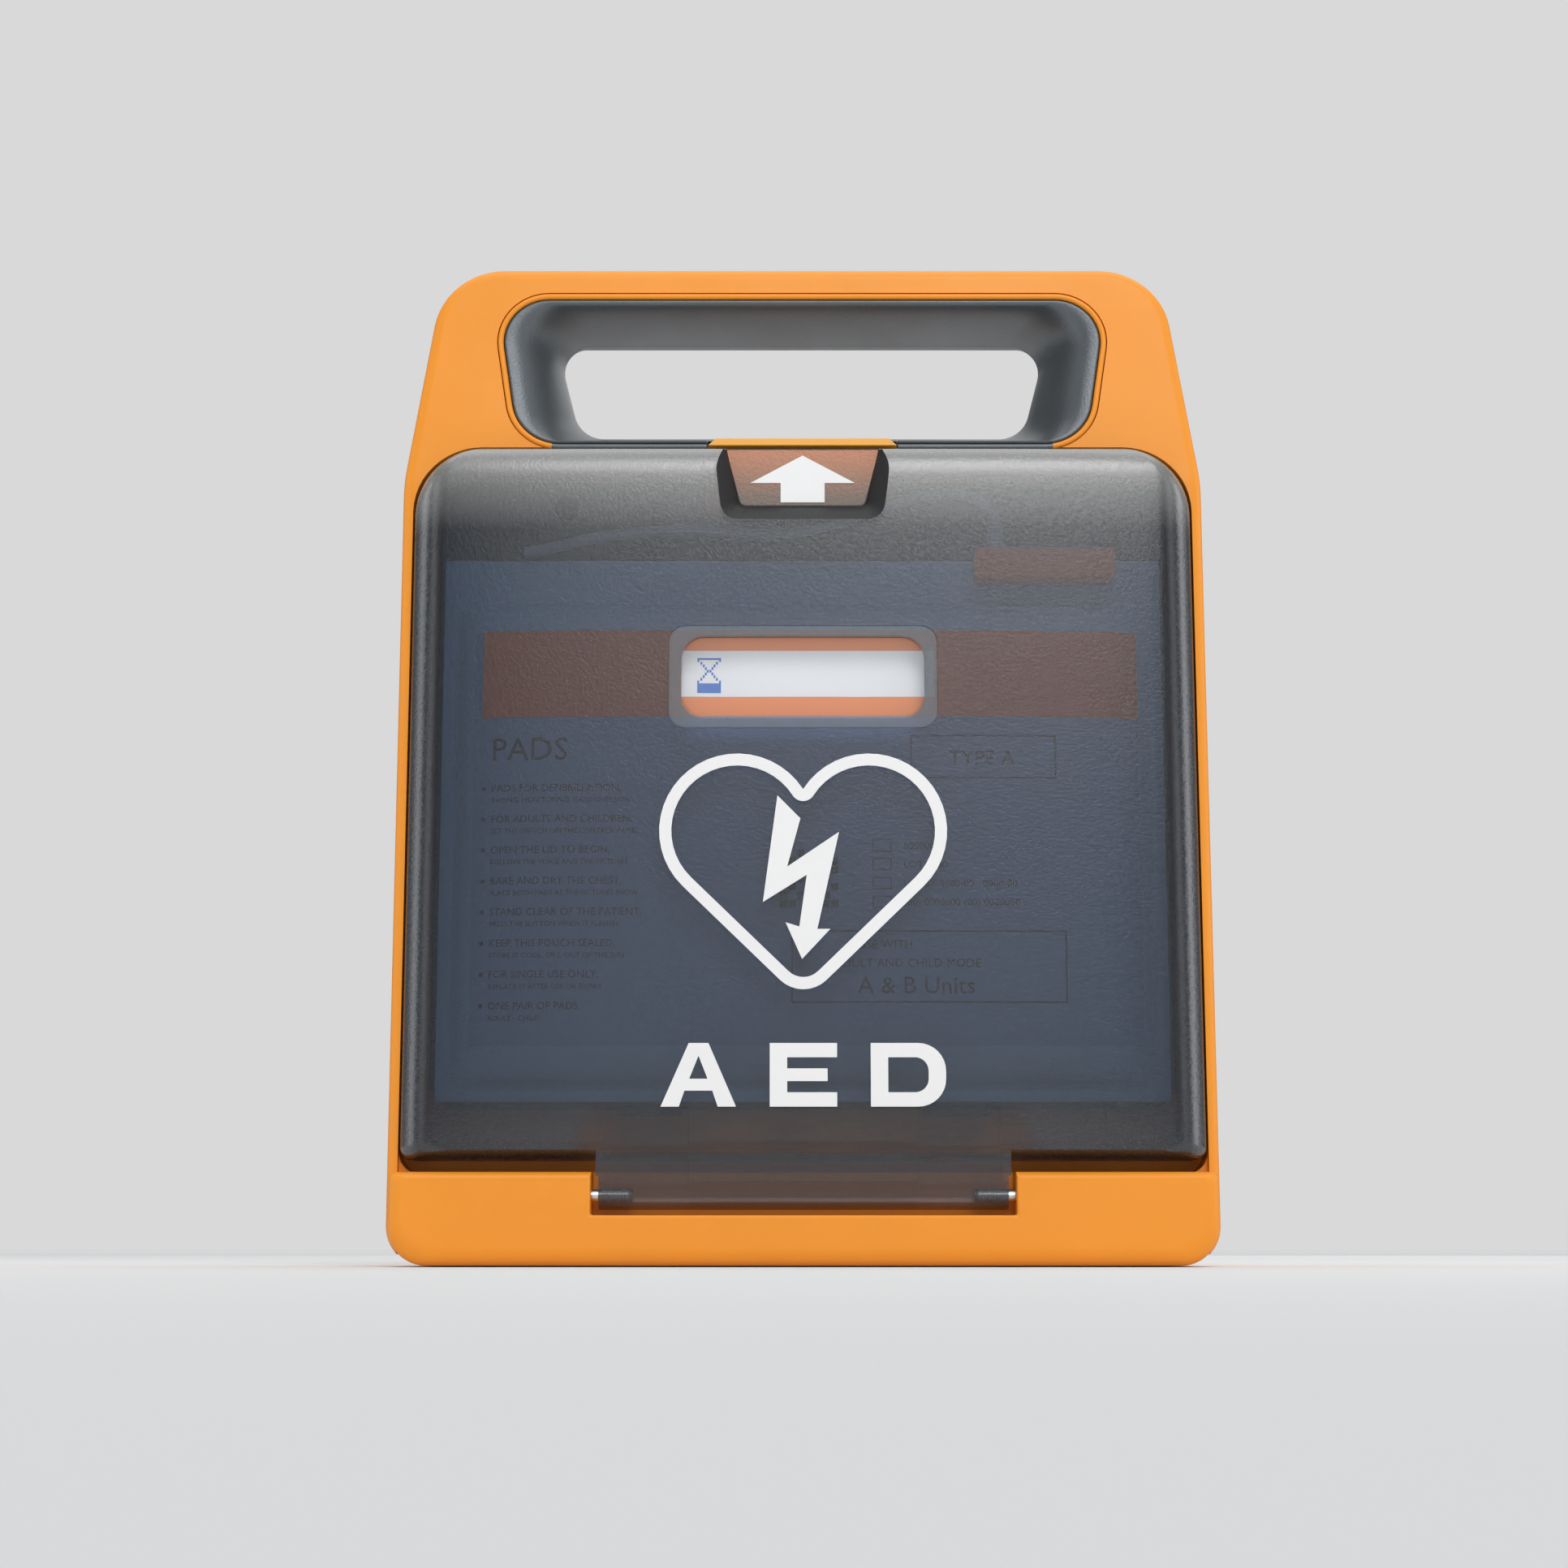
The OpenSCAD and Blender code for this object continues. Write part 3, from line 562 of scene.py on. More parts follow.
def brushed(name, colour, rough=0.3, stretch=(900.0, 60.0, 60.0)):
    """Drawn or brushed metal, with fine lines along one axis."""
    s = Shader(name)
    scale = s.add("ShaderNodeMapping")
    scale.inputs["Scale"].default_value = stretch
    s.link(s.coords, scale.inputs["Vector"])
    lines = s.add("ShaderNodeTexNoise", scale=4.0, detail=3.0)
    s.link(scale.outputs["Vector"], lines.inputs["Vector"])
    streaks = lines.outputs["Fac"]
    s.link(s.colours(streaks, tinted(colour, 0.85), tinted(colour, 1.1)), s.bsdf.inputs["Base Color"])
    s.link(s.ramp(streaks, rough - 0.08, rough + 0.12), s.bsdf.inputs["Roughness"])
    s.link(s.bump(streaks, 0.25, 0.00002), s.bsdf.inputs["Normal"])
    s.set(Metallic=1.0)
    return s.material


ORANGE = moulded("orange_shell_plastic", linear(243, 151, 38), 0.46, 1500, 0.00004, 0.55, 0.05, gloss=0.4)
GRIP = moulded("grip_textured", linear(100, 105, 109), 0.38, 1900, 0.0001, 0.9, 0.1, metal=0.5)
SEAL = moulded("seal_rubber_black", linear(28, 28, 30), 0.7, 900, 0.00005)
STEEL = brushed("steel_pins", (0.72, 0.72, 0.74, 1), 0.24)
BUMPER = moulded("bumper_rubber_black", linear(38, 38, 40), 0.75, 800, 0.00008)
PLATE = moulded("plate_film", linear(232, 232, 230), 0.32, 500, 0.00001, 0.2, 0.03)
PANEL = moulded("panel_grey_plastic", linear(66, 68, 72), 0.5, 1600, 0.00005, 0.7, 0.06)
PANEL_DARK = moulded("panel_dark_plastic", linear(40, 42, 46), 0.5, 1600, 0.00005, 0.7, 0.06)
OVERLAY = moulded("overlay_printed_film", linear(196, 202, 208), 0.3, 700, 0.00001, 0.25, 0.03)
LENS = moulded("lens_green_clear", linear(60, 190, 90), 0.15, 400, 0.00001, 0.2, 0.05, coat=0.6)
SPEAKER = moulded("speaker_can", linear(70, 70, 72), 0.4, 700, 0.00003, metal=0.6)
SOCKET = moulded("socket_black_plastic", linear(30, 32, 36), 0.5, 1500, 0.00005)
PLUG = moulded("plug_orange_brown", linear(226, 116, 44), 0.45, 1500, 0.00004, 0.5, 0.06)
JACKET = moulded("lead_jacket", linear(150, 168, 196), 0.5, 900, 0.00004)
BOARD = moulded("board_solder_mask", linear(24, 96, 56), 0.35, 600, 0.00003)
CHIP = moulded("chip_black", linear(26, 26, 28), 0.55, 1200, 0.00004)
CAPACITOR = moulded("capacitor_sleeve", linear(34, 52, 140), 0.3, 500, 0.00002, coat=0.3)
TAPE = moulded("transformer_tape_yellow", linear(190, 160, 70), 0.45, 700, 0.00005)
COPPER = brushed("copper_winding", (0.72, 0.33, 0.16, 1), 0.35, (60.0, 900.0, 60.0))
RELAY = moulded("relay_white_plastic", linear(214, 214, 208), 0.4, 900, 0.00003)
GLASS = see_through("reed_glass", (0.75, 0.85, 0.8, 1), 0.45, 0.1, 300, 0.00001, 0.2)
GOLD = brushed("contact_gold", (0.85, 0.62, 0.28, 1), 0.3)
# Painted light: the lighter grey that the lid's face takes on towards its top edge, where light from above
# falls on it.
TOP_PAINTED_LIGHT = (0.36, 0.366, 0.354, 1)
SMOKE = see_through(
    "lid_smoked_frosted",
    (0.015, 0.021, 0.031, 1),
    0.5,
    0.24,
    1200,
    0.0001,
    0.75,
    1.56,
    edges=(0.93, 0.8, 0.76),
    rise=(TOP_PAINTED_LIGHT, LID_Z1 - 24, LID_Z1 - 3),
)
# Painted shade: the lifting recess's walls get this dark opaque colour in place of the shade that falls
# inside the recess.
RECESS_PAINTED_SHADE = moulded("recess_wall_painted_shade", linear(24, 25, 27), 0.5, 1400, 0.00012, 0.9, 0.2)
PANE = see_through("window_clear", (0.85, 0.9, 0.95, 1), 0.07, 0.08, 200, 0.00001, 0.15, 1.2)
BEZEL = see_through("window_frosted_frame", linear(128, 134, 142), 0.3, 0.38, 1500, 0.0001, 0.7)
# Painted glow: the recess floor turns warmer towards its top, in place of the orange latch showing through
# it from behind.
PEACH = see_through(
    "recess_floor",
    linear(132, 118, 108),
    0.86,
    0.4,
    1100,
    0.0002,
    1.0,
    rise=(linear(204, 142, 110), 199, 211),
)
MAGNET = moulded("magnet_ferrite", linear(44, 44, 48), 0.5, 700, 0.00003)
BLACKED = brushed("screws_blacked", (0.06, 0.06, 0.065, 1), 0.35)
PRINT = moulded("print_white_ink", linear(240, 240, 240), 0.38, 1300, 0.00003, 0.4, 0.02)
LATCH = moulded("latch_yellow_orange", linear(250, 178, 66), 0.38, 1500, 0.00003, 0.4, 0.04)
WIRE = brushed("spring_wire", (0.66, 0.66, 0.68, 1), 0.28)
SHOCK = moulded("shock_button_orange", linear(226, 84, 28), 0.28, 900, 0.00002, 0.3, 0.05, coat=0.4)
INFO = moulded("info_button_blue", linear(52, 110, 190), 0.38, 1200, 0.00003)
SWITCH = moulded("switch_white", linear(226, 226, 222), 0.4, 1200, 0.00003)
BATTERY = moulded("battery_black_plastic", linear(42, 43, 46), 0.52, 1500, 0.00006, 0.7)
CELL = moulded("cell_green_sleeve", linear(54, 128, 76), 0.3, 500, 0.00002)
POUCH = moulded("pouch_blue_grey", (0.28, 0.53, 1.0, 1), 0.42, 420, 0.00006, 0.35, 0.06)
LABEL = moulded("label_blue", (0.22, 0.40, 0.82, 1), 0.5, 800, 0.00003, 0.4, 0.04)
BAND = moulded("label_band_orange", (0.90, 0.26, 0.06, 1), 0.5, 800, 0.00003, 0.4, 0.04, gloss=0.15)
STICKER = moulded("label_sticker_white", linear(240, 242, 246), 0.5, 700, 0.00002, 0.3, 0.02)
INK = moulded("label_ink_dark", linear(24, 27, 40), 0.55, 800, 0.00003, 0.4, 0.08, gloss=0.2)
INK_BLUE = moulded("label_ink_blue", linear(28, 104, 200), 0.5, 800, 0.00003, 0.4, 0.05)


# ---------------------------------------------------------------- camera, light and floor


def make_camera():
    """Close camera, level with the foot strip and aimed a little upward, as the photograph has it."""
    data = bpy.data.cameras.new("camera")
    data.sensor_width = 36.0
    data.lens = 61.9
    data.clip_start = 0.01
    camera = bpy.data.objects.new("camera", data)
    camera.location = (-0.0049, -0.720, 0.004)
    camera.rotation_euler = (math.radians(90 + 9.8), 0, 0)
    bpy.context.scene.collection.objects.link(camera)
    bpy.context.scene.camera = camera


def add_light(name, kind, aim, **values):
    """Light that shines along aim."""
    data = bpy.data.lights.new(name, kind)
    for key, value in values.items():
        setattr(data, key, value)
    lamp = bpy.data.objects.new(name, data)
    lamp.rotation_euler = aim.to_track_quat("-Z", "Y").to_euler()
    bpy.context.scene.collection.objects.link(lamp)
    return lamp


def pale_floor():
    """Matt floor, lighter out of reach of the soft boxes, so that it meets the backdrop evenly."""
    s = Shader("floor_pale")
    reach = s.add("ShaderNodeVectorMath", operation="LENGTH")
    s.link(s.coords, reach.inputs[0])
    far = s.ramp(reach.outputs["Value"], 0.0, 1.0, 0.6, 1.8)
    s.link(s.colours(far, FLOOR_NEAR, FLOOR_FAR), s.bsdf.inputs["Base Color"])
    s.link(s.ramp(reach.outputs["Value"], 0.0, 0.12, 0.9, 3.0), s.bsdf.inputs["Emission Strength"])
    s.link(s.ramp(s.noise(4.0, 3.0), 0.85, 1.0), s.bsdf.inputs["Roughness"])
    s.set(Specular_IOR_Level=0.0, Emission_Color=(1, 1, 1, 1))
    return s.material


def make_studio():
    """Pale floor and backdrop, even light from above, and soft boxes in front and at the sides."""
    corners = quad(FLOOR_HALF, -FLOOR_HALF, FLOOR_HALF, FLOOR_HALF)
    floor = new_object("floor", [(x, y, FLOOR_Z) for x, y in corners], [(0, 1, 2, 3)])
    floor.data.materials.append(pale_floor())
    world = bpy.data.worlds.new("world")
    bpy.context.scene.world = world
    world.use_nodes = True
    tree = world.node_tree
    backdrop, fill = tree.nodes["Background"], tree.nodes.new("ShaderNodeBackground")
    backdrop.inputs["Color"].default_value = linear(217, 217, 217)
    fill.inputs["Color"].default_value = (0.92, 0.96, 1.0, 1)
    fill.inputs["Strength"].default_value = FILL
    path, pick = tree.nodes.new("ShaderNodeLightPath"), tree.nodes.new("ShaderNodeMixShader")
    tree.links.new(path.outputs["Is Camera Ray"], pick.inputs[0])
    tree.links.new(fill.outputs[0], pick.inputs[1])
    tree.links.new(backdrop.outputs[0], pick.inputs[2])
    tree.links.new(pick.outputs[0], tree.nodes["World Output"].inputs["Surface"])
    for name, direction, strength, spread in SUNS:
        add_light(name, "SUN", -Vector(direction), energy=strength, angle=math.radians(spread))
    middle = Vector((0, 0, 0.13))
    for name, place, width, height, power in SOFT_BOXES:
        size = {"shape": "RECTANGLE", "size": width, "size_y": height}
        lamp = add_light(name, "AREA", middle - Vector(place), energy=power, **size)
        lamp.location = place
    bpy.context.scene.view_settings.view_transform = "Standard"


# ---------------------------------------------------------------- case


def case_front():
    """Front frame: one swept face with a foot strip, a bay for the lid and a hinge recess."""
    rings = [at_depth(body_outline(SEAM_INSET), 0.0), at_depth(body_outline(0.0), -SEAM_Y)]
    for sine, cosine in quarter(8):
        rise = EDGE_R * (1 - sine)
        rings.append(at_depth(body_outline(EDGE_R * (1 - cosine)), lambda z, rise=rise: front_y(z) + rise))
    shell = loft("case_front", rings, ladder=1)
    cut(shell, prism("bay", lid_bay(), -60, FLANGE_Y))
    join(shell, foot_strip())
    for side in (-1, 1):
        join(shell, bay_corner(side))
    hollow = prism("hollow", body_outline(WALL, WALL), FLANGE_Y + WALL, 5)
    cut(hollow, prism("collar", grip_outline(0, 2.4), -30, 10))
    cut(shell, hollow)
    cut(shell, prism("grip_hole", grip_outline(0, 1.9), -40, 5))
    cut(shell, prism("panel_hole", rounded(quad(92, 46, 92, 197), [5] * 4), -40, -5))
    cut(shell, hinge_recess())
    cut(shell, latch_way(1))
    smooth(shell)
    finish_piece(shell, ORANGE, "case", ["front_frame"])


def bay_corner(side):
    """Fillet between the foot strip's upper edge and the cheek beside the lid."""
    r, x, z = BAY_CORNER_R, LID_HALF + 0.5, STRIP_H
    arc = [(x - r + r * sine, z + r - r * cosine) for sine, cosine in quarter(ARC_STEPS)]
    outline = [(x - r, z - 1), (x + 1, z - 1), (x + 1, z + r), *reversed(arc)]
    return prism("bay_corner", [Vector((side * x, z)) for x, z in outline], HANDLE_Y + 2.6, FLANGE_Y)


def lid_bay():
    """Outline of the room that the closed lid takes up."""
    half = LID_HALF + 0.5
    return rounded(quad(half, -20, half, WEB_Z), [3, 3, 18, 18])


def foot_strip():
    """Foot strip with a rounded front, softer at its lower edge."""
    rings = [at_depth(strip_outline(0.2, 0, STRIP_H), -12), at_depth(strip_outline(0.5, 0, STRIP_H), -24)]
    for sine, cosine in quarter(8):
        share = 1 - cosine
        outline = strip_outline(2.2 + 3.6 * share, 4.4 * share, STRIP_H - 1.7 * share)
        rings.append(at_depth(outline, CASE_FRONT + 3.6 * (1 - sine)))
    return loft("foot_strip", rings)


def hinge_recess():
    """Cutter for the hinge recess, with its front edges rounded."""

    def outline(grow):
        half = RECESS_HALF + grow
        return rounded(quad(half, RECESS_LOW - grow, half, STRIP_H + 4), [0.6, 0.6, 0.2, 0.2], steps=3)

    return loft("hinge_recess", flared(outline, CASE_FRONT, HINGE_Y + BARREL_R + 1.3, 0.7))


def case_rear():
    """Rear shell: handle back, deep electronics box, battery bay, screw wells and label recess."""
    rings = [at_depth(body_outline(SEAM_INSET), 0.0), at_depth(body_outline(0.0), SEAM_Y)]
    for sine, cosine in quarter(8):
        rings.append(at_depth(body_outline(4.0 * (1 - cosine)), HANDLE_REAR - 4.0 * (1 - sine)))
    shell = loft("case_rear", rings)
    deep = [at_depth(rear_outline(SEAM_INSET, 0, 211.8), 0.0), at_depth(rear_outline(0, 0, 212), SEAM_Y)]
    for sine, cosine in quarter(14):
        share = 1 - cosine
        outline = rear_outline(8.5 * share, 6.5 * share, 212 - 16 * share)
        deep.append(at_depth(outline, CASE_REAR - 17 * (1 - sine)))
    join(shell, loft("deep", deep))
    hollow = prism("hollow", body_outline(2.8, WALL), -5, 10.4)
    join(hollow, prism("hollow_deep", rear_outline(9, 8, 194), 5, 35.4))
    cut(hollow, prism("collar", grip_outline(0, 2.4), -10, 20))
    bay_wall = rounded(quad(58, 20, 58, 88), [3] * 4)
    cut(hollow, prism("bay_wall", bay_wall, 12, 50))
    cut(hollow, block("catch_wall", (-12.2, 29.4, 86), (12.2, 50, 103.2)))
    cut(shell, hollow)
    cut(shell, prism("grip_hole", grip_outline(0, 1.9), -5, 20))
    cut(shell, loft("bay", flared(growing_box(56, 22, 86, 2), CASE_REAR, 14, 0.8)))
    cut(shell, loft("catch", flared(growing_box(10, 88.6, 101, 1, 4), CASE_REAR, 31.4, 0.6)))
    for x, z, face in WELLS:
        cut(shell, loft("well", flared(growing_circle(x, z, WELL_R), face, 5, 0.5)))
    for x, z in BUMPERS:
        cut(shell, loft("bumper_seat", flared(growing_circle(x, z, BUMPER_R), CASE_REAR, 37, 0.3)))
    seat = rounded(quad(45.2, 123.8, 45.2, 172.2), [3] * 4, steps=4)
    cut(shell, prism("label_seat", seat, CASE_REAR - 0.4, CASE_REAR + 5))
    smooth(shell)
    finish_piece(shell, ORANGE, "case", ["rear_shell"])


def grip_lining(name, node, front):
    """Black lining that rolls from the rim into the throat of the grip opening."""

    def rim_depth(z):
        return front_y(max(z, WEB_Z)) + 0.15 if front else HANDLE_REAR - 0.1

    seam = THROAT_Y - 0.06 if front else THROAT_Y + 0.06
    side = 1 if front else -1
    rings = []
    lip = 0.7
    for sine, cosine in quarter(4):
        lift = side * lip * (1 - cosine)
        rings.append([(p.x, rim_depth(p.y) + lift, p.y) for p in grip_outline(0, -lip * (1 - sine))])
    rings.reverse()
    rings.insert(0, at_depth(grip_outline(0), rim_depth(230) + side * 6))
    rings.insert(0, at_depth(grip_outline(1, 2.2), seam))
    for sine, cosine in quarter(16):
        t, along = sine**0.9, 1 - cosine
        outline = grip_outline(t, -lip * (1 - t), along)
        rings.append([(p.x, mix(rim_depth(p.y), seam, along), p.y) for p in outline])
    lining = loft_open_ring(name, rings)
    if front:
        cut(lining, latch_way(2))
    smooth(lining, 40)
    finish_piece(lining, GRIP, "case", [node])


def loft_open_ring(name, rings):
    """Solid ring whose section runs through the rings and back to the first one."""
    count = len(rings[0])
    points = [p for ring in rings for p in ring]
    faces = []
    total = len(rings)
    for r in range(total):
        for i in range(count):
            a, b = r * count + i, r * count + (i + 1) % count
            c, d = ((r + 1) % total) * count + (i + 1) % count, ((r + 1) % total) * count + i
            faces.append((a, b, c, d))
    return new_object(name, points, faces)


def grip_trim():
    """Narrow bead between the lining and the case: orange, and black along the front's lower edge."""
    for name, front in (("grip_trim_front", True), ("grip_trim_rear", False)):
        rings = []
        for k in range(9):
            a = math.pi * k / 8
            outline = grip_outline(0, mix(0.15, 1.7, (1 - math.cos(a)) / 2))
            lift = 0.75 * math.sin(a)
            if front:
                rings.append([(p.x, front_y(max(p.y, WEB_Z)) + 0.5 - lift, p.y) for p in outline])
            else:
                rings.append([(p.x, HANDLE_REAR - 0.5 + lift, p.y) for p in outline])
        deep = 5 if front else -5
        rings.append([(p[0], p[1] + deep, p[2]) for p in rings[-1]])
        rings.insert(0, [(p[0], p[1] + deep, p[2]) for p in rings[0]])
        trim = loft_open_ring(name, rings)
        if front:
            cut(trim, latch_way(3))
            cut(trim, block("lower_edge", *LOWER_EDGE))
            lip = loft_open_ring("grip_lip_front", rings)
            cut(lip, latch_way(3))
            combine(lip, block("lower_edge", *LOWER_EDGE), "INTERSECT")
            smooth(lip, 50)
            finish_piece(lip, GRIP, "case")
        smooth(trim, 50)
        finish_piece(trim, ORANGE, "case")


# ---------------------------------------------------------------- lid


def lid_rings(wall):
    """Rings of the lid's outer face, or of its inner face when wall is its thickness."""
    rings = [at_depth(lid_outline(wall, wall, wall), LID_BACK + (5 if wall else 0))]
    side_r, depth_r, power = 10.0, 11.5, 2.15
    for sine, cosine in quarter(12):
        across, along = cosine ** (2 / power), sine ** (2 / power)
        inset = side_r * (1 - across) + wall
        low, high = 2.2 * (1 - across) + wall, 1.6 * (1 - across) + wall
        rings.append(at_depth(lid_outline(inset, low, high), LID_FRONT + wall + depth_r * (1 - along)))
    return rings


def recess_outline(grow, corner=2.0):
    """Lifting recess in the lid, seen from the front."""
    corners = quad(16.5 + grow, 196.9 - grow, 20.8 + grow, 216)
    return rounded(corners, [corner, corner, 0.3, 0.3], steps=5)


# Outline of the window's frame, as a function of how far it grows.
window_frame = growing_box(34.8, WINDOW_Z - 13.5, WINDOW_Z + 13.5, 4.4)


def crown(piece):
    """Bows the lid's face: its sides fall back, and its upper part rolls back to the top edge."""
    for vertex in piece.data.vertices:
        x, y, z = vertex.co / MM
        share = max(0.0, min(1.0, (CROWN_BACK - y) / CROWN_DEPTH))
        side, top = abs(x) / LID_HALF, max(0.0, (z - TOP_FALL_Z) / (LID_Z1 - TOP_FALL_Z))
        roll = max(0.0, z - LID_Z1 + TOP_ROLL_H)
        fall = TOP_FALL * top**2.2 + TOP_ROLL_R - math.sqrt(TOP_ROLL_R**2 - roll**2)
        vertex.co.y += MM * share * (LID_CROWN * side**5 + fall)
    return piece


def lid_cover():
    """Smoked lid: a rolled-edge shell with the recess, the window opening, the hinge tab and the barrel;
    the recess walls carry painted shade.
    """
    cover = crown(loft("lid_cover", lid_rings(0.0), ladder=24))
    hollow = crown(loft("hollow", lid_rings(LID_WALL), ladder=24))
    backing = [at_depth(recess_outline(2.2), -30.2), at_depth(recess_outline(6.4), LID_FRONT - 1)]
    cut(hollow, loft("backing", backing))
    cut(cover, hollow)
    join(cover, block("tab", (-TAB_HALF, LID_FRONT + 0.02, HINGE_Z), (TAB_HALF, LID_FRONT + LID_WALL, 30)))
    join(cover, rod("barrel", BARREL_R, -TAB_HALF, TAB_HALF, HINGE_Y, HINGE_Z))
    for side in (-1, 1):
        low, high = sorted((side * 29, side * 50))
        join(cover, block("rib", (low, LID_FRONT + 2, 20.2), (high, -31.4, 40)))
        ends = sorted((side * BARREL_HALF, side * 54))
        cut(cover, block("end", (ends[0], -45, 8), (ends[1], -25, 22.4)))
        bores = sorted((side * 43, side * 56))
        cut(cover, rod("bore", BORE_R, *bores, HINGE_Y, HINGE_Z, 32))
    mouth = [at_depth(recess_outline(5.2, 5.4), LID_FRONT - 2)]
    for k in range(7):
        t = k / 6
        outline = recess_outline(4.8 * (1 - t) ** 1.5, mix(5, 2, t))
        mouth.append(at_depth(outline, mix(LID_FRONT, RECESS_FLOOR_Y, t)))
    recess = loft("recess", mouth)
    cover.data.materials.append(SMOKE)
    recess.data.materials.append(RECESS_PAINTED_SHADE)
    cut(cover, recess)
    opening = growing_box(31.6, 139.5, 161, 6)
    cut(cover, loft("window_hole", flared(opening, LID_FRONT + 0.5, LID_FRONT + 6, 0.3)))
    cut(cover, prism("window_seat", window_frame(0.1), LID_FRONT - 2, LID_FRONT + 0.5))
    smooth(cover, 26)
    # Faces in the second slot are the recess walls with their painted shade.
    walls = [polygon.material_index for polygon in cover.data.polygons]
    finish_piece(cover, SMOKE, "lid", ["lid_shell"])
    cover.data.materials.append(RECESS_PAINTED_SHADE)
    cover.data.polygons.foreach_set("material_index", [min(k, 1) for k in walls])


def lid_window():
    """Frosted frame and clear pane of the lid's window."""
    rings = [at_depth(window_frame(0), LID_FRONT + 0.48)]
    for sine, cosine in quarter(4):
        rings.append(at_depth(window_frame(0.35 * (cosine - 1)), LID_FRONT + 0.3 - 0.35 * sine))
    bezel = loft("window_frame", rings)
    opening = growing_box(31.4, 139.7, 160.8, 6)
    cut(bezel, loft("opening", flared(opening, LID_FRONT - 0.05, LID_FRONT + 3, 0.45)))
    smooth(bezel, 40)
    finish_piece(bezel, BEZEL, "lid")
    rings = [at_depth(opening(-0.1), LID_FRONT + 2.2)]
    for sine, cosine in quarter(3):
        rings.append(at_depth(opening(-0.1 - 0.4 * (1 - cosine)), LID_FRONT + 1.1 - 0.4 * sine))
    pane = loft("window_pane", rings)
    smooth(pane, 40)
    finish_piece(pane, PANE, "lid", ["lid_window"])


def recess_floor():
    """Peach tinted plate on the floor of the lifting recess; towards its top it warms with painted glow of
    the orange latch showing through from behind.
    """
    outline = rounded(quad(16.2, 197.3, 20.2, 212.4), [1.6, 1.6, 0.4, 0.4], steps=5)
    plate = prism("recess_floor_plate", outline, RECESS_FLOOR_Y - 0.05, RECESS_FLOOR_Y + 0.02)
    finish_piece(plate, PEACH, "lid")


# ---------------------------------------------------------------- pads packet, printing and lead

# Thickness of the printing, capital height per font size, and the pitch of the label's rows.
INK_THICK = 0.04
CAPITALS = 0.7
TEXT_ROW = 8.1
DATE_ROW = 4.9


def packet_front(x, z):
    """Depth of the pouch's front at a place: crowned in the middle, flat at its sealed margins, creased."""
    mid_z = (packet_low.z + packet_high.z) / 2
    u = abs(x) / (packet_high.x - 4.5)
    v = abs(z - mid_z + 4) / ((packet_high.z - packet_low.z) / 2 - 8)
    fall = max(0.0, 1 - u**6) * max(0.0, 1 - v**8)
    bulge = 6.3 * fall**0.55
    place = Vector((x * 0.021, z * 0.021, 3.7))
    crease = 0.55 * noise.noise(place) + 0.22 * noise.noise(place * 3.1) + 0.1 * noise.noise(place * 7.3)
    pulls = 0.28 * math.sin(x * 0.19 + 2.2 * noise.noise(place * 1.7)) * (1 - fall) ** 2
    return -22.95 - bulge - crease * (0.35 + 0.65 * fall) - pulls


def add_sheet(points, faces, area, front, back, nx, nz):
    """Adds a closed sheet between two depth functions to a mesh in the making. area is (x0, z0, x1, z1)."""
    x0, z0, x1, z1 = area
    first = len(points)
    for depth in (front, back):
        for j in range(nz + 1):
            for i in range(nx + 1):
                x, z = mix(x0, x1, i / nx), mix(z0, z1, j / nz)
                points.append((x, depth(x, z), z))
    size = (nx + 1) * (nz + 1)
    for j in range(nz):
        for i in range(nx):
            a = first + j * (nx + 1) + i
            faces.append((a, a + 1, a + nx + 2, a + nx + 1))
            faces.append((size + a, size + a + nx + 1, size + a + nx + 2, size + a + 1))
    rim = list(range(nx + 1))
    rim += [j * (nx + 1) + nx for j in range(1, nz + 1)]
    rim += [nz * (nx + 1) + i for i in range(nx - 1, -1, -1)]
    rim += [j * (nx + 1) for j in range(nz - 1, 0, -1)]
    for a, b in zip(rim, rim[1:] + rim[:1]):
        faces.append((first + a, first + b, first + size + b, first + size + a))


def flat(y):
    """Depth function of an upright flat face."""
    return lambda x, z: y


def printed(name, bars, material, lift, depth=packet_front, body="case", back=False):
    """Thin printed areas laid on a surface, the pouch's front unless depth says otherwise."""
    side = 1 if back else -1

    def outer(x, z):
        return depth(x, z) + side * lift

    def inner(x, z):
        return depth(x, z) + side * (lift - INK_THICK)

    points, faces = [], []
    for x0, z0, x1, z1 in bars:
        area = (min(x0, x1), min(z0, z1), max(x0, x1), max(z0, z1))
        nx = max(1, min(120, int((area[2] - area[0]) / 1.4)))
        nz = max(1, min(90, int((area[3] - area[1]) / 1.4)))
        add_sheet(points, faces, area, outer, inner, nx, nz)
    piece = new_object(name, points, faces)
    smooth(piece, 60, weighted=False)
    finish_piece(piece, material, body)


def lettering(name, lines, lift, depth=packet_front, body="case", back=False):
    """Plain words laid on a surface. A line is (words, x, z, height of its capitals)."""
    points, faces = [], []
    for words, x0, z0, height in lines:
        curve = bpy.data.curves.new("words", "FONT")
        curve.body = words
        curve.size = height / CAPITALS
        curve.resolution_u = 2
        curve.extrude = 0.015
        holder = bpy.data.objects.new("words", curve)
        mesh = bpy.data.meshes.new_from_object(holder)
        first = len(points)
        for vertex in mesh.vertices:
            x = x0 - vertex.co.x if back else x0 + vertex.co.x
            z = z0 + vertex.co.y
            off = lift + vertex.co.z
            points.append((x, depth(x, z) + (off if back else -off), z))
        faces += [tuple(first + i for i in face.vertices) for face in mesh.polygons]
        bpy.data.objects.remove(holder)
        bpy.data.curves.remove(curve)
        bpy.data.meshes.remove(mesh)
    finish_piece(new_object(name, points, faces), INK, body)


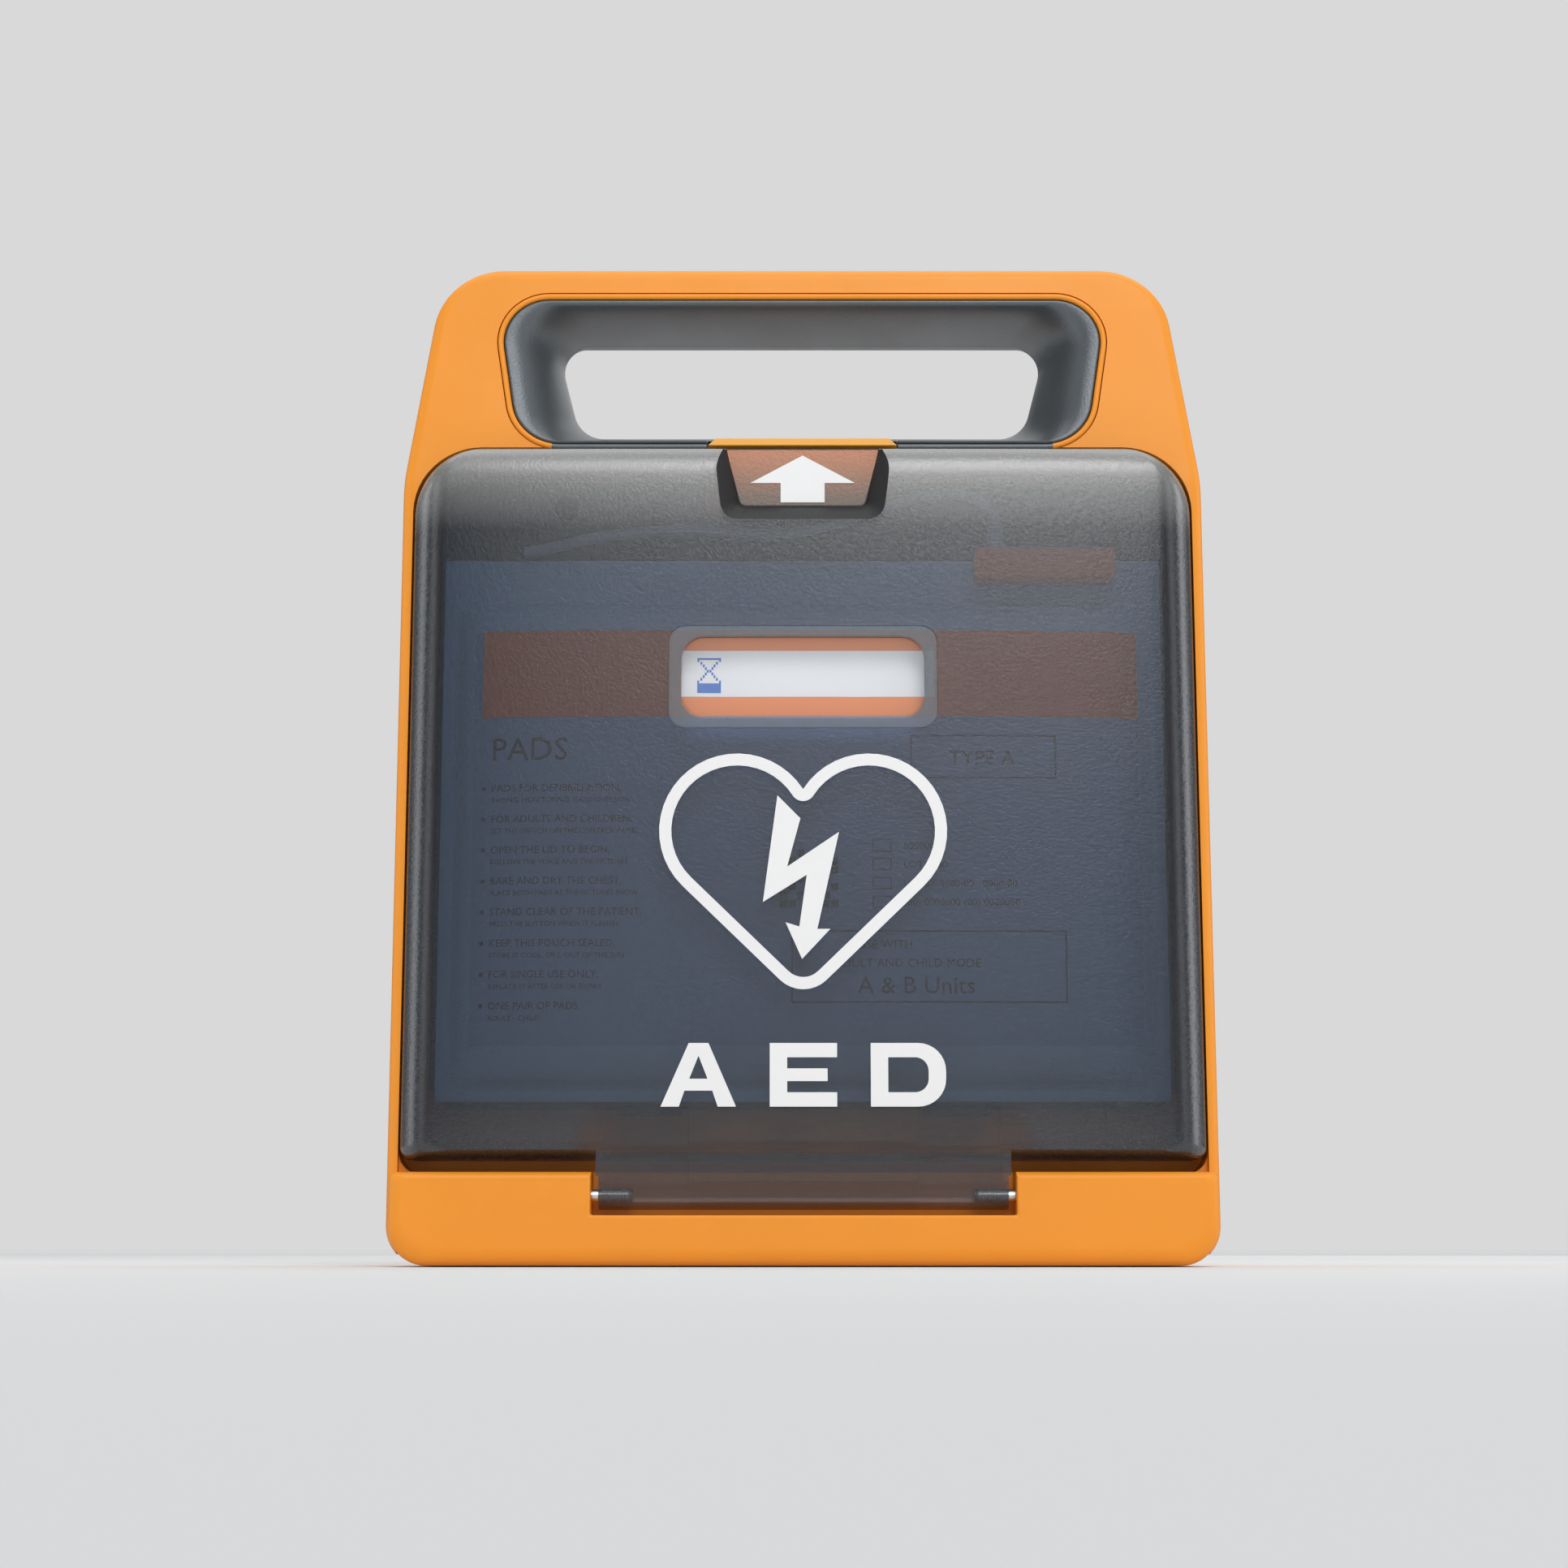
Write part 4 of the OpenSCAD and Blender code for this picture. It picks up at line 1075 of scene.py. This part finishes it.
def packet():
    """Sealed pouch with its printed label."""

    def back(x, z):
        return -22.0 + min(0.5, 0.2 + 0.3 * noise.noise(Vector((x * 0.03, z * 0.03, 9))))

    points, faces = [], []
    area = (-packet_high.x, packet_low.z, packet_high.x, packet_high.z)
    add_sheet(points, faces, area, packet_front, back, 150, 120)
    pouch = new_object("packet_pouch", points, faces)
    smooth(pouch, 60, weighted=False)
    finish_piece(pouch, POUCH, "case", ["pads_packet"])
    printed("packet_label", [(-86, 55.5, 88, 164.5)], LABEL, 0.06)
    printed("packet_band", [(-83.9, 141.2, 88, 164.5)], BAND, 0.12)
    printed("packet_sticker", [(-31.8, 146.4, 34.5, 158.8)], STICKER, 0.18)
    printed("packet_icon", icon_bars(), INK_BLUE, 0.24)
    printed("packet_boxes", label_boxes(), INK, 0.14)
    lettering("packet_words", label_words(), 0.14)


def icon_bars():
    """Hourglass mark beside the window, made of short level bars."""
    left, low, width, high = -27.6, 147.4, 6.2, 9.4
    bars = [(left, low, left + width, low + 2.6), (left, low + high - 0.5, left + width, low + high)]
    for k in range(9):
        z = low + 2.6 + k * 0.72
        squeeze = 2.5 * (1 - abs(k - 4) / 4) ** 0.8
        bars.append((left + squeeze, z, left + squeeze + 0.5, z + 0.74))
        bars.append((left + width - squeeze - 0.5, z, left + width - squeeze, z + 0.74))
    return bars


def frame_bars(x0, z0, x1, z1, w=0.4):
    """Four thin bars round an empty box."""
    return [(x0, z0, x1, z0 + w), (x0, z1 - w, x1, z1), (x0, z0, x0 + w, z1), (x1 - w, z0, x1, z1)]


def label_boxes():
    """Empty boxes, bullets and a plain code block on the pouch's label."""
    bars = frame_bars(28, 124.8, 66, 136.3) + frame_bars(-3, 66.4, 68, 85.1)
    bars += [(-83.6, 121.9 - row * TEXT_ROW, -82.6, 122.9 - row * TEXT_ROW) for row in range(8)]
    for cell in range(49):
        if (cell * 7 + cell // 7 * 3) % 5 < 3:
            x, z = -6 + cell % 7 * 2.2, 91 + cell // 7 * 2.2
            bars.append((x, z, x + 1.9, z + 1.9))
    for row in range(4):
        bars += frame_bars(18, 105.6 - row * DATE_ROW, 23, 108.8 - row * DATE_ROW, 0.3)
    return bars


def label_words():
    """Plain advice printed on the pouch's label."""
    pairs = [
        ("PADS FOR DEFIBRILLATION,", "PACING, MONITORING, CARDIOVERSION"),
        ("FOR ADULTS AND CHILDREN,", "SET THE SWITCH ON THE CONTROL PANEL"),
        ("OPEN THE LID TO BEGIN,", "FOLLOW THE VOICE AND THE PICTURES"),
        ("BARE AND DRY THE CHEST,", "PLACE BOTH PADS AS THE PICTURES SHOW"),
        ("STAND CLEAR OF THE PATIENT,", "PRESS THE BUTTON WHEN IT FLASHES"),
        ("KEEP THIS POUCH SEALED,", "STORE IT COOL, DRY, OUT OF THE SUN"),
        ("FOR SINGLE USE ONLY,", "REPLACE IT AFTER USE OR EXPIRY"),
        ("ONE PAIR OF PADS", "ADULT - CHILD"),
    ]
    lines = [("PADS", -81.5, 129.8, 6.0), ("TYPE A", 38, 128.4, 3.8)]
    for row, (large, small) in enumerate(pairs):
        lines.append((large, -81.2, 121.5 - row * TEXT_ROW, 1.9))
        lines.append((small, -81.2, 118.6 - row * TEXT_ROW, 1.35))
    dates = ("00000000", "LOT 0000", "USE BY 0000-00   0000-00", "(00) 0000000 (00) 0000000")
    lines += [(words, 26, 106.2 - row * DATE_ROW, 1.9) for row, words in enumerate(dates)]
    lines += [("USE WITH", 14, 80.4, 2.2), ("ADULT AND CHILD MODE", 8, 75.6, 2.2)]
    lines.append(("A & B Units", 14, 68.8, 4.4))
    return lines


def panel_print():
    """Step boxes, plain pictures and words on the control panel's film."""
    film = flat(overlay_low.y)
    boxes = []
    for left in (-52, -16, 20):
        boxes += frame_bars(left, 118, left + 32, 166, 0.6)
    boxes += frame_bars(-47, 124, -25, 148, 0.8) + [(-45, 140, -27, 145)]
    boxes += frame_bars(-9, 124, 9, 143, 0.8) + frame_bars(-3.5, 145, 3.5, 152, 0.8)
    boxes += [(-7, 135, -1.5, 141), (2, 126.5, 7, 132)]
    boxes += [(34, 138, 40, 151), (31.5, 136.6, 38.4, 138), (35.2, 124, 37, 136.6)]
    printed("panel_boxes", boxes, INK, 0.05, film)
    lines = [
        ("1", -50, 158.5, 5.5),
        ("2", -14, 158.5, 5.5),
        ("3", 22, 158.5, 5.5),
        ("OPEN PACKET", -50, 119.6, 2.6),
        ("PLACE PADS", -14, 119.6, 2.6),
        ("PRESS SHOCK", 22, 119.6, 2.6),
        ("SHOCK", 42, 68.5, 4),
        ("LANGUAGE", -77.5, 136.5, 2.6),
        ("ADULT", -81.5, 100.5, 2.2),
        ("CHILD", -70.5, 100.5, 2.2),
        ("STATUS", -86.5, 110.5, 2.2),
    ]
    lettering("panel_words", lines, 0.04, film)


def back_labels():
    """Plain words and boxes on the rating plate and on the battery's label."""
    plate = flat(plate_high.y)
    lines = [
        ("AUTOMATED EXTERNAL DEFIBRILLATOR", 41, 164.5, 2.7),
        ("Biphasic  200 J    12 V DC  2.8 Ah", 41, 157.5, 2.2),
        ("Use 0 to 50 C    Store -20 to 60 C    IP55", 41, 151.5, 2.2),
        ("Type A    Class II    Internally powered", 41, 145.5, 2.2),
        ("SERIAL NUMBER", 41, 135.5, 1.8),
        ("0000 0000 0000", 41, 130.5, 2.6),
    ]
    lettering("plate_words", lines, 0.04, plate, back=True)
    boxes = frame_bars(-42, 127.5, -26, 141.5) + frame_bars(-22, 127.5, -8, 141.5)
    boxes += [(41, 142.4, -42, 142.8)]
    for k, width in enumerate((0.5, 0.9, 0.5, 1.1, 0.5, 0.9)):
        left = -38.5 + k * 1.7
        boxes.append((left, 130.5, left + width, 138.5))
    boxes += [(-20, 133, -10, 134), (-15.5, 130, -14.5, 139)]
    printed("plate_boxes", boxes, INK, 0.05, plate, back=True)
    label = flat(battery_label_high.y)
    lines = [
        ("BATTERY PACK", 36, 54.5, 3.6),
        ("12 V    2.8 Ah    34 Wh", 36, 48.8, 2.4),
        ("Do not recharge, open, crush or burn.", 36, 43.6, 1.9),
        ("Slide the catch up to take it out.", 36, 39.6, 1.9),
    ]
    lettering("battery_words", lines, 0.04, label, body="battery", back=True)
    boxes = frame_bars(-36, 46.5, -24, 58)
    boxes += [(-33, 48.5, -31.6, 56), (-30.6, 48.5, -30, 56), (-29, 48.5, -27.6, 56)]
    printed("battery_boxes", boxes, INK, 0.05, label, body="battery", back=True)


CABLE_ROUTE = [
    (-74, -24.8, 186.4), (-70, -24, 187.2), (-64, -23.4, 188.8), (-56, -22.8, 190.8),
    (-47, -22.5, 192.2), (-38, -22.4, 193), (-28, -22.5, 193.2), (-18, -22.8, 192.6),
    (-8, -23.2, 192), (2, -23.6, 193), (11, -24, 195.4), (19, -24.4, 198.2),
    (27, -24.9, 200.6), (34, -25.4, 201.9), (41, -26, 202), (46, -26.6, 200.6),
    (49.2, -27, 198.2), (51, -27.2, 196), (51, -27.2, 194.2),
]
CABLE_R = 1.5


def between(route, i, t):
    """Point on a smooth curve through the route, t of the way from point i to the next."""
    p = [Vector(route[max(0, min(len(route) - 1, i + k))]) for k in (-1, 0, 1, 2)]
    a = 2 * p[1]
    b = p[2] - p[0]
    c = 2 * p[0] - 5 * p[1] + 4 * p[2] - p[3]
    d = 3 * p[1] - p[0] - 3 * p[2] + p[3]
    return (a + b * t + c * t * t + d * t * t * t) / 2


def tube(name, path, radius, sides=20, facing=(0, 1, 0)):
    """Closed round tube along a path that never runs along facing.

    radius is a number, or a function of the share of the path that is done.
    """
    rings = []
    for i, p in enumerate(path):
        ahead = (path[min(i + 1, len(path) - 1)] - path[max(i - 1, 0)]).normalized()
        side = ahead.cross(Vector(facing)).normalized()
        up = side.cross(ahead)
        r = radius(i / (len(path) - 1)) if callable(radius) else radius
        rings.append([p + r * (side * c + up * s) for c, s in whole_turn(sides)])
    return loft(name, rings)


def lead():
    """The pads lead, from the pouch to the plug, and its ribbed strain relief."""
    path = [between(CABLE_ROUTE, i, k / 6) for i in range(len(CABLE_ROUTE) - 1) for k in range(6)]
    path.append(Vector(CABLE_ROUTE[-1]))
    cable = tube("pads_lead", path, CABLE_R)
    smooth(cable, 50, weighted=False)
    finish_piece(cable, JACKET, "case", ["pads_cable"])
    low, high = mm_box("plug_strain_relief")
    x, y = (low.x + high.x) / 2, (low.y + high.y) / 2
    steps = 60
    path = [Vector((x, y, mix(low.z, high.z, k / steps))) for k in range(steps + 1)]

    def ribbed(t):
        groove = 0.35 if 0.2 < t < 0.95 and int(t * 14) % 2 else 0
        return mix(3.1, 2.1, t) - groove

    relief = tube("strain_relief", path, ribbed, 28)
    smooth(relief, 50, weighted=False)
    finish_piece(relief, JACKET, "case", ["plug_strain_relief"])


# ---------------------------------------------------------------- CAD nodes that keep their shape


def coil_spring(node, axis, wire, turns):
    """Compression spring wound inside its node's box, which shortens along axis as the joint moves."""
    low, high = mm_box(node)
    middle, size = (low + high) / 2, high - low
    along = Vector(axis)
    length, radius = size.dot(along) - 2 * wire, size.x / 2 - wire
    across = along.cross(Vector((1, 0, 0)))
    start = middle - along * length / 2
    steps = turns * 24
    path = []
    for k in range(steps + 1):
        a = 2 * math.pi * turns * k / steps
        rise = 0.5 - 0.5 * math.cos(math.pi * k / steps)
        turn = Vector((math.cos(a), 0, 0)) + across * math.sin(a)
        path.append(start + radius * turn + along * length * rise)
    spring = tube(node.replace("_spring", "_coil"), path, wire, 10, axis)
    finish_piece(spring, WIRE, "case", [node])
    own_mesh(spring)


CARRIED = [
    (SEAL, "case_seal"),
    (STEEL, "hinge_pins", "case_screws", "board_screws"),
    (BUMPER, "rear_bumpers"),
    (PLATE, "rating_plate", "battery_label"),
    (PANEL, "panel_plate"),
    (PANEL_DARK, "speaker_grille"),
    (OVERLAY, "panel_overlay"),
    (BLACKED, "panel_screws"),
    (LENS, "status_lens"),
    (SPEAKER, "speaker"),
    (CHIP, "microphone", "board_chips"),
    (SOCKET, "pads_socket", "cable_clips", "packet_lugs"),
    (PLUG, "pads_plug"),
    (BOARD, "main_board"),
    (CAPACITOR, "hv_capacitor"),
    (TAPE, "transformer"),
    (COPPER, "inductor"),
    (RELAY, "relays"),
    (GLASS, "reed_switch"),
    (GOLD, "battery_contacts"),
    (MAGNET, "lid_magnet"),
    (PRINT, "lift_arrow", "heart_symbol", "lid_title", "shock_mark"),
    (LATCH, "latch_slider", "battery_latch"),
    (SHOCK, "shock_button"),
    (INFO, "info_button"),
    (SWITCH, "mode_switch"),
    (BATTERY, "battery_pack"),
    (CELL, "battery_cells"),
]
SOFTENED = {
    "pads_socket": 0.5,
    "pads_plug": 0.7,
    "packet_lugs": 0.5,
    "latch_slider": 0.25,
    "shock_button": 0.8,
    "info_button": 0.6,
    "mode_switch": 0.4,
    "battery_pack": 0.4,
    "battery_latch": 0.35,
    "transformer": 0.6,
    "relays": 0.5,
    "board_chips": 0.2,
    "rear_bumpers": 0.3,
    "hinge_pins": 0.2,
    "panel_plate": 0.25,
}


def dress_nodes():
    """Procedural materials and softened edges for the CAD nodes that show as they are."""
    for material, *names in CARRIED:
        for name in names:
            node = NODES[name]
            node.data.materials.clear()
            node.data.materials.append(material)
            if name in SOFTENED:
                soften(node, SOFTENED[name])


make_camera()
make_studio()
dress_nodes()
case_front()
case_rear()
grip_lining("grip_lining_front", "grip_insert_front", True)
grip_lining("grip_lining_rear", "grip_insert_rear", False)
grip_trim()
lid_cover()
lid_window()
recess_floor()
packet()
lead()
panel_print()
back_labels()
coil_spring("latch_spring", (0, 0, 1), 0.35, 6)
coil_spring("shock_spring", (0, 1, 0), 0.4, 3)
coil_spring("info_spring", (0, 1, 0), 0.35, 3)
